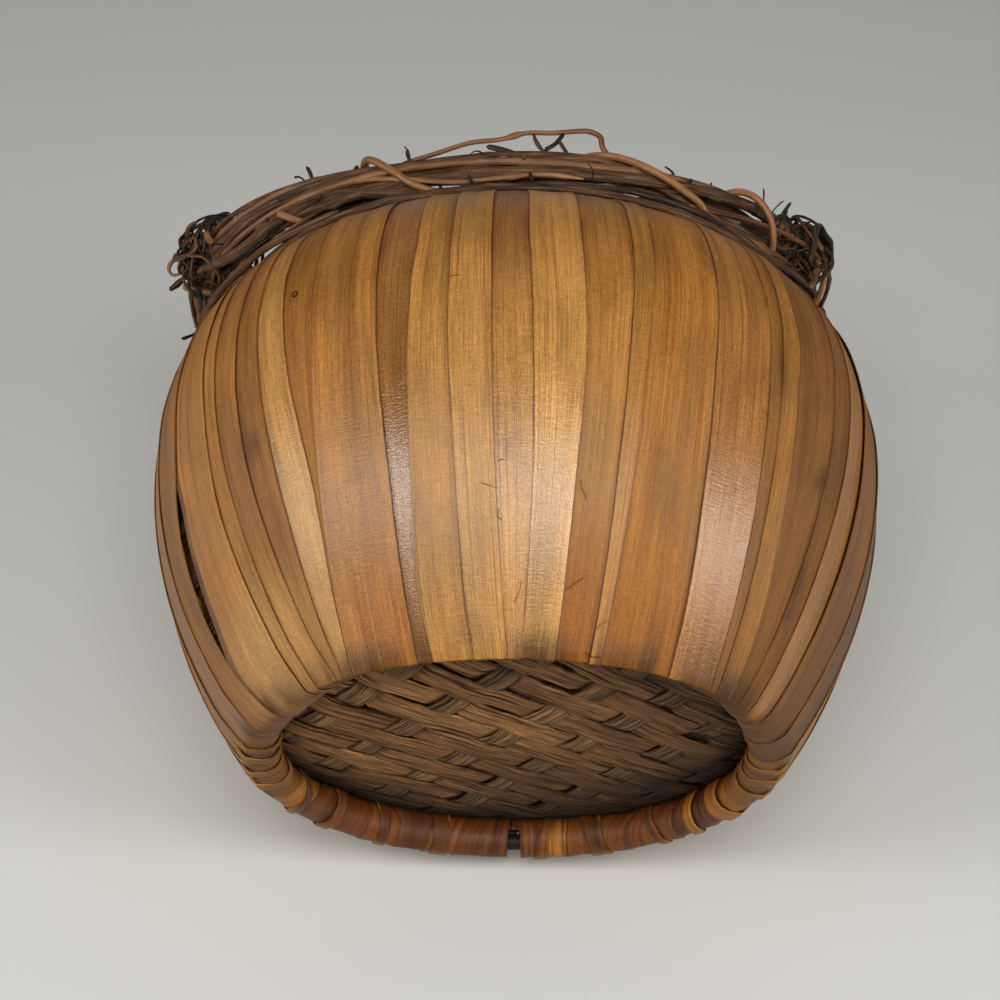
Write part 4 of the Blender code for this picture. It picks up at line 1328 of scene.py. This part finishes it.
def make_wound_stems():
    main = wound(4, BUNDLE, 0.0, BUNDLE_TWIST, 1.6 * MM, 0)
    second = wound(3, BUNDLE + 0.8 * MM, pi / 4, BUNDLE_TWIST, 1.6 * MM, 0.02)
    core = wound(1, 1.2 * MM, 0.5, 2, 0.4 * MM, 2.5)
    thin = wound(3, BUNDLE + 2.4 * MM, 2.2, 1.4, 2.2 * MM, 0.9)
    # Name, node, route, radius and distance between joints in millimetres, swell, seed, sides, tones and bark
    stems = (
        ("main_stem", "main_stem", main, 2.15, 74, 0.35, 1, 12, (BARK_BROWN, BARK_DARK), STEM_BARK),
        ("second_stem", "second_stem", second, 1.4, 58, 0.35, 2, 10, (YOUNG_BROWN, BARK_BROWN), SMOOTH_BARK),
        ("core_stem", "core_stem", core, 1.8, 66, 0.35, 3, 10, (BARK_DARK, BARK_BROWN), STEM_BARK),
        ("thin_stem", "second_stem", thin, 0.95, 49, 0.35, 8, 8, (BARK_DARK, BARK_RED), STEM_BARK),
        ("low_stem", "low_stem", low_route(), 1.5, 70, 0.35, 4, 10, (BARK_BLACK, BARK_BROWN), STEM_BARK),
        ("binder", "binder", binder_route(), 1.35, 82, 0.3, 5, 10, (BINDER_TAN, YOUNG_BROWN), SMOOTH_BARK),
    )
    for name, node, route, radius, pitch, swell, seed, sides, tones, bark in stems:
        shape = jointed(radius * MM, pitch * MM, seed, swell)
        tube = make_tube(name, route, shape, sides, mottled(*tones, seed), seed)
        settle(tube, bark, "binder_bark" if name == "binder" else "vine_bark", "vine_" + node)


# Stems that show at the front: name, radius, tones, distance between joints, and a route in millimetres
FRONT_STEMS = (
    ("thick_left", 2.2, BARK_BROWN, BARK_DARK, 60, (
        (-127, -16, 199), (-124, -32, 194), (-114, -47, 188), (-103, -61, 185), (-91, -75, 186),
        (-80, -83, 188), (-68, -90, 188), (-57, -95, 185), (-45, -99, 182), (-30, -101, 180))),
    ("top_stem", 1.65, BARK_BROWN, BARK_RED, 52, (
        (-84, -74, 190), (-70, -87, 190), (-51, -97, 189), (-35, -101, 188), (-21, -104, 189),
        (-12, -105, 191), (6, -105, 193), (19, -103, 195), (28, -102, 196), (37, -99, 194), (50, -95, 190),
        (59, -91, 187), (68, -86, 184), (78, -79, 182), (92, -66, 183), (104, -50, 188))),
    ("tan_runner", 1.0, BINDER_TAN, YOUNG_BROWN, 40, (
        (-88, -76, 189), (-73, -90, 190), (-57, -98, 188), (-45, -103, 185), (-37, -105, 183),
        (-23, -107, 181), (-9, -108, 182), (6, -108, 184), (22, -106, 184))),
    ("stray_vine", 0.95, YOUNG_BROWN, BARK_RED, 47, (
        (-47, -98, 193), (-44, -98, 195), (-41, -99, 196), (-30, -101, 199), (-19, -103, 202),
        (-8, -104, 203), (1, -104, 206), (11, -103, 207), (22, -102, 209), (26, -101, 209),
        (28.5, -101, 207), (29, -101, 203), (31, -100, 200), (37, -99, 196))),
    ("cut_twig", 1.1, TWIG_GREY, BARK_BLACK, 30, (
        (-13, -106, 198), (-6, -106, 196), (-1, -106, 193.5), (4, -106, 190))),
    ("strut_1", 0.6, BARK_DARK, BARK_BROWN, 20, ((4, -104, 206), (5, -104, 202), (8, -104, 197))),
    ("strut_2", 0.8, BARK_DARK, BARK_BLACK, 20, ((15, -103, 207), (12, -103, 202), (8, -103, 199))),
    ("strut_3", 0.7, BARK_BLACK, BARK_BROWN, 20, ((13, -103, 204), (15, -103, 200), (17, -103, 196))),
    ("dark_right", 1.3, BARK_DARK, BARK_BLACK, 44, (
        (52, -96, 186), (65, -89, 185), (78, -80, 184), (90, -68, 186), (103, -52, 192), (113, -34, 199))),
    ("dark_right_low", 1.2, BARK_BLACK, BARK_BROWN, 50, (
        (66, -90, 180), (79, -82, 179), (91, -70, 178), (104, -54, 181), (114, -36, 187), (119, -18, 192))),
    ("low_front", 1.2, BARK_BLACK, BARK_DARK, 38, (
        (-22, -109, 178), (-7, -109, 177.5), (13, -108, 180), (35, -104, 181), (50, -99, 181),
        (65, -92, 180), (80, -81, 179))),
    ("low_left", 1.4, BARK_RED, BARK_DARK, 46, (
        (-66, -94, 177), (-80, -87, 174), (-95, -75, 173), (-108, -57, 173), (-117, -40, 175),
        (-124, -20, 179))),
    ("low_left_thin", 0.8, BARK_DARK, BARK_RED, 30, (
        (-74, -88, 181), (-88, -78, 178), (-101, -64, 177), (-112, -47, 178), (-121, -28, 182))),
    ("right_loop", 1.2, BARK_BROWN, YOUNG_BROWN, 30, (
        (97, -57, 196), (104, -50, 205), (112, -46, 208), (118, -44, 205), (120, -43, 199), (118, -42, 193),
        (112, -44, 188))),
    ("right_hanger", 1.2, YOUNG_BROWN, BARK_BROWN, 34, (
        (108, -50, 201), (113, -46, 201), (115, -45, 195), (114, -45, 187), (111, -48, 179))),
    ("left_light_loop", 1.1, YOUNG_BROWN, BINDER_TAN, 26, (
        (-112, -44, 210), (-117, -44, 209), (-121, -42, 205), (-122, -40, 200), (-119, -42, 195),
        (-114, -46, 193))),
    ("left_ring", 0.6, YOUNG_BROWN, BARK_BROWN, 26, (
        (-134, -30, 201), (-137, -30, 199), (-138, -29, 196), (-136, -29, 193.5), (-133, -30, 194),
        (-132, -31, 197))),
    ("left_end", 1.0, BARK_BLACK, BARK_DARK, 12, (
        (-127, -31, 196), (-131, -29, 193), (-134, -28, 190), (-137, -28, 187))),
    ("left_tendril_1", 0.35, BARK_BLACK, BARK_BLACK, 20, (
        (-119, -34, 208), (-119, -33, 215), (-121, -32, 219), (-124, -31, 220))),
    ("left_tendril_2", 0.35, BARK_BLACK, BARK_BLACK, 20, (
        (-118, -34, 208), (-116, -35, 213), (-113, -36, 213), (-112, -36, 210))),
    ("left_tendril_3", 0.35, BARK_BLACK, BARK_BLACK, 20, (
        (-112, -42, 205), (-113, -41, 212), (-115, -40, 216), (-120, -38, 216))),
    ("left_tendril_4", 0.35, BARK_BLACK, BARK_BLACK, 20, (
        (-107, -50, 201), (-109, -49, 207), (-111, -47, 211))),
)
REPLACED_BY = {"stray_vine": "vine_stray", "cut_twig": "vine_twig"}


def make_front_stems():
    for seed, (name, radius, tone, other, pitch, route) in enumerate(FRONT_STEMS, 20):
        points = smooth_route([Vector(point) * MM for point in route], max(radius * 0.9, 0.7) * MM)
        slim = pointed(jointed(radius * MM, pitch * MM, seed, 0.5), 0.3)
        tube = make_tube(name, points, slim, 10 if radius > 1 else 7, mottled(tone, other, seed), seed)
        smooth_kind = tone in (YOUNG_BROWN, BINDER_TAN)
        nodes = [REPLACED_BY[name]] if name in REPLACED_BY else []
        settle(tube, SMOOTH_BARK if smooth_kind else STEM_BARK, "vine_bark", *nodes)


def arc_route(centre, radius, start, sweep, tilt, rng):
    """An uneven arc in a tilted plane."""
    turn = Matrix.Identity(3)
    for angle, axis in zip(tilt, "XYZ"):
        turn = turn @ Matrix.Rotation(angle, 3, axis)
    points = []
    steps = max(int(abs(sweep) / 0.5), 3)
    rise = rng.uniform(-0.25, 0.25)
    for step in range(steps + 1):
        angle = start + sweep * step / steps
        reach = radius * (1 + rng.uniform(-0.12, 0.12))
        points.append(centre + turn @ Vector((reach * cos(angle), reach * sin(angle), rise * radius * angle)))
    return points


def scattered(rng, reach):
    """A random vector with each part between -reach and reach."""
    return Vector([rng.uniform(-reach, reach) for _ in range(3)])


def make_tangle(name, centre, half, seed, node):
    """A clump of thin dark vine ends curled round each other."""
    rng = Random(seed)
    centre = Vector(centre) * MM
    half = Vector(half)
    tubes = []
    for number in range(CLUMP_STEMS):
        offset = Vector([rng.gauss(0, 0.33) * side * MM for side in half])
        radius = rng.uniform(3.5, 11.5) * MM
        tilt = [rng.uniform(0, tau) for _ in range(3)]
        route = arc_route(centre + offset, radius, rng.uniform(0, tau), rng.uniform(1.6, 5.6), tilt, rng)
        kept = []
        for point in route:
            far = point - centre
            size = hypot(far.x / half.x, far.y / half.y, far.z / half.z) / MM
            kept.append(centre + far * (min(1, 1.0 / size) if size > 0 else 1))
        thick = rng.choice((0.35, 0.45, 0.6, 0.8, 1.1))
        tones = BARK_BLACK, rng.choice((BARK_DARK, BARK_BROWN, BARK_RED, BARK_BLACK))
        tubes.append(make_thin(f"{name}_{number}", kept, 1.3, thick, 16, 6, tones, number))
    settle(join(tubes, name), STEM_BARK, "vine_bark", node)


def make_rootlets():
    """Short thin ends of vine that stick out of the bundle all round, more of them at the front."""
    rng = Random(77)
    tubes = []
    for number in range(ROOTLETS):
        at_front = number % 2
        turn = radians(rng.uniform(-150, -25)) if at_front else rng.uniform(0, tau)
        bundle_angle = radians(rng.uniform(-110, 120))
        start = wreath_point(turn, rng.uniform(4, 8) * MM, bundle_angle)
        outward = (wreath_point(turn, 12 * MM, bundle_angle) - start).normalized()
        heading = (outward + scattered(rng, 0.9)).normalized()
        curl = scattered(rng, 1)
        length = rng.choice((3, 4, 5, 7, 9)) * MM
        points = [start]
        for _ in range(5):
            heading = (heading + 0.45 * curl).normalized()
            curl = (curl + scattered(rng, 0.5)).normalized()
            points.append(points[-1] + heading * length / 4)
        thick = rng.choice((0.25, 0.3, 0.4, 0.6))
        tones = BARK_BLACK, BARK_DARK
        tubes.append(make_thin(f"rootlet_{number}", points, 1.0, thick, 9, 5, tones, number))
    settle(join(tubes, "rootlets"), STEM_BARK, "vine_bark")


def make_vines():
    make_wound_stems()
    make_front_stems()
    make_tangle("curls_left", (-118, -31, 200), (17, 18, 17), 11, "vine_curl_left")
    make_tangle("curls_right", (103, -44, 197), (18, 18, 14), 23, "vine_curl_right")
    make_rootlets()


# Small flaws of the wood

# Splinters, each by three places: angle from the front in degrees, height and distance out in millimetres
SPLINTERS = (
    ((-3.2, 48, 1.8), (-4.6, 49, 1.9), (-5.8, 50, 1.8)),
    ((-3.3, 56, 1.9), (-2.6, 56.6, 2.0), (-2.0, 56.2, 1.9)),
    ((-3.0, 42, 1.8), (-3.2, 40, 2.2), (-2.6, 39, 2.4)),
    ((9.0, 52, 1.8), (9.2, 49, 2.0), (10.0, 46, 2.1)),
    ((14.0, 10, 1.9), (14.6, 12, 2.9), (15.6, 13, 3.2)),
    ((12.4, 4, 1.9), (14.0, 3, 2.6), (15.4, 3.2, 2.9)),
    ((8.0, 20, 1.8), (9.4, 22, 2.2), (10.8, 24, 2.0)),
    ((-9.9, 119.6, 1.8), (-9.2, 120.0, 2.0), (-8.4, 119.8, 1.8)),
    ((38.0, 128, 1.9), (38.3, 132, 2.3), (38.8, 134, 2.0)),
    ((-0.6, 16, 1.8), (0.2, 19, 2.2), (0.6, 22, 1.9)),
)
KNOT_AT = (-34.2, 127)


def on_wall(from_front, height, out):
    radius, level = outer_place(height * MM).raised(out * MM)
    return around(radius, level, from_front)


def make_flaws():
    """A knot's ring, and splinters that lift off the splits."""
    ring = []
    for step in range(13):
        turn = tau * step / 12
        ring.append(on_wall(KNOT_AT[0] + 0.4 * cos(turn), KNOT_AT[1] + 1.2 * sin(turn), 1.8))
    tubes = [make_tube("knot_ring", smooth_route(ring, 0.4 * MM), jointed(0.2 * MM, 5 * MM, 1), 6,
                       mottled(STAIN, SEAM_DARK, 1), 1)]
    for number, route in enumerate(SPLINTERS):
        points = [on_wall(*place) for place in route]
        tubes.append(make_thin(f"splinter_{number}", points, 0.6, 0.11, 9, 5, (BROWN, SEAM_DARK), number))
    settle(join(tubes, "knot_and_splinters"), SPLIT_WOOD, "split_wood")


# Stage

FLOOR_FACING = Vector((0, -0.9689, 0.2474))
FLOOR_AWAY = 110.6 * MM  # the wall behind reaches 110.0 mm
FLOOR_TONE = (0.59, 0.61, 0.63, 1)
FLOOR_SIZE = 6  # metres


def make_floor():
    """A plain pale floor behind the basket, seen from its front side only."""
    deselect()
    bpy.ops.mesh.primitive_plane_add(size=FLOOR_SIZE)
    plane = bpy.context.object
    plane.name = "pale_floor"
    turn = FLOOR_FACING.to_track_quat("Z", "Y").to_matrix().to_4x4()
    plane.data.transform(Matrix.Translation(FLOOR_FACING * -FLOOR_AWAY) @ turn)
    material = bpy.data.materials.new("pale_floor")
    material.use_nodes = True
    nodes = Nodes(material.node_tree)
    shader = material.node_tree.nodes["Principled BSDF"]
    shader.inputs["Base Color"].default_value = FLOOR_TONE
    shader.inputs["Roughness"].default_value = 0.9
    clear = nodes.add("BsdfTransparent")
    back = nodes.add("NewGeometry")
    chosen = nodes.add("MixShader")
    nodes.feed(chosen.inputs[0], back.outputs["Backfacing"])
    nodes.feed(chosen.inputs[1], shader.outputs[0])
    nodes.feed(chosen.inputs[2], clear.outputs[0])
    nodes.feed(material.node_tree.nodes["Material Output"].inputs["Surface"], chosen.outputs[0])
    plane.data.materials.append(material)
    plane.visible_shadow = False


CAMERA_AT = Vector((-6.1, -677, -261)) * MM
CAMERA_FORWARD = Vector((0, 0.8765, 0.4814))
CAMERA_UP = Vector((0, -0.4814, 0.8765))
CAMERA_RIGHT = Vector((1, 0, 0))
CAMERA_ROLL = radians(0.9)
LENS, SENSOR = 72, 36  # millimetres


def make_camera():
    data = bpy.data.cameras.new("camera")
    data.lens = LENS
    data.sensor_width = SENSOR
    data.clip_start = 0.05
    camera = bpy.data.objects.new("camera", data)
    bpy.context.scene.collection.objects.link(camera)
    right = CAMERA_RIGHT * cos(CAMERA_ROLL) + CAMERA_UP * sin(CAMERA_ROLL)
    up = CAMERA_UP * cos(CAMERA_ROLL) - CAMERA_RIGHT * sin(CAMERA_ROLL)
    turn = Matrix((right, up, -CAMERA_FORWARD)).transposed().to_4x4()
    camera.matrix_world = Matrix.Translation(CAMERA_AT) @ turn
    bpy.context.scene.camera = camera


def make_light(name, place, width, height, power, tint=(1, 1, 1)):
    """A soft box that faces the basket."""
    data = bpy.data.lights.new(name, "AREA")
    data.shape = "RECTANGLE"
    data.size = width
    data.size_y = height
    data.energy = power
    data.color = tint
    light = bpy.data.objects.new(name, data)
    bpy.context.scene.collection.objects.link(light)
    light.location = place
    light.rotation_mode = "QUATERNION"
    light.rotation_quaternion = (LIT_MIDDLE - Vector(place)).to_track_quat("-Z", "Y")


# Lights low down in front: name, bearing and rise in degrees, width and height in metres, power in watts
FRONT_LIGHTS = (
    ("left_side", -84, -3, 0.40, 0.28, 2.6), ("left_front", -44, -11, 0.46, 0.28, 3.4),
    ("front", 0, -16, 0.50, 0.30, 5.0), ("right_front", 38, -15, 0.46, 0.28, 2.8),
    ("right_side", 70, -12, 0.36, 0.28, 2.6),
)
LIGHTS_AWAY = 0.98  # metres from the middle they face
LIT_MIDDLE = Vector((0, -0.02, 0.07))
WARM_LIGHT = (1, 0.955, 0.87)
ROOM_TONE = (1.0, 0.97, 0.93, 1)
ROOM_STRENGTH = 0.13


def make_lights():
    for name, bearing, rise, width, height, power in FRONT_LIGHTS:
        level = cos(radians(rise)) * LIGHTS_AWAY
        turn = radians(bearing)
        place = LIT_MIDDLE + Vector((level * sin(turn), -level * cos(turn), sin(radians(rise)) * LIGHTS_AWAY))
        make_light(name, place, width, height, power, WARM_LIGHT)
    make_light("top_box", (0, 0.1, 1.3), 0.9, 0.9, 1.6)
    make_light("back_box", (0.2, 1.2, 0.4), 0.9, 0.7, 3)
    world = bpy.data.worlds.new("pale_room")
    world.use_nodes = True
    sky = world.node_tree.nodes["Background"]
    sky.inputs["Color"].default_value = ROOM_TONE
    sky.inputs["Strength"].default_value = ROOM_STRENGTH
    bpy.context.scene.world = world
    bpy.context.scene.view_settings.view_transform = "Standard"


make_splits()
make_wrap_bands()
make_hoop("foot_core", FOOT_CORE_AT, FOOT_CORE, BARK_BLACK, "foot_hoop")
make_hoop("rim_core", RIM_CORE_AT, RIM_CORE, BARK_BLACK, "rim_hoop")
make_liner()
make_vines()
make_flaws()
make_floor()
make_camera()
make_lights()
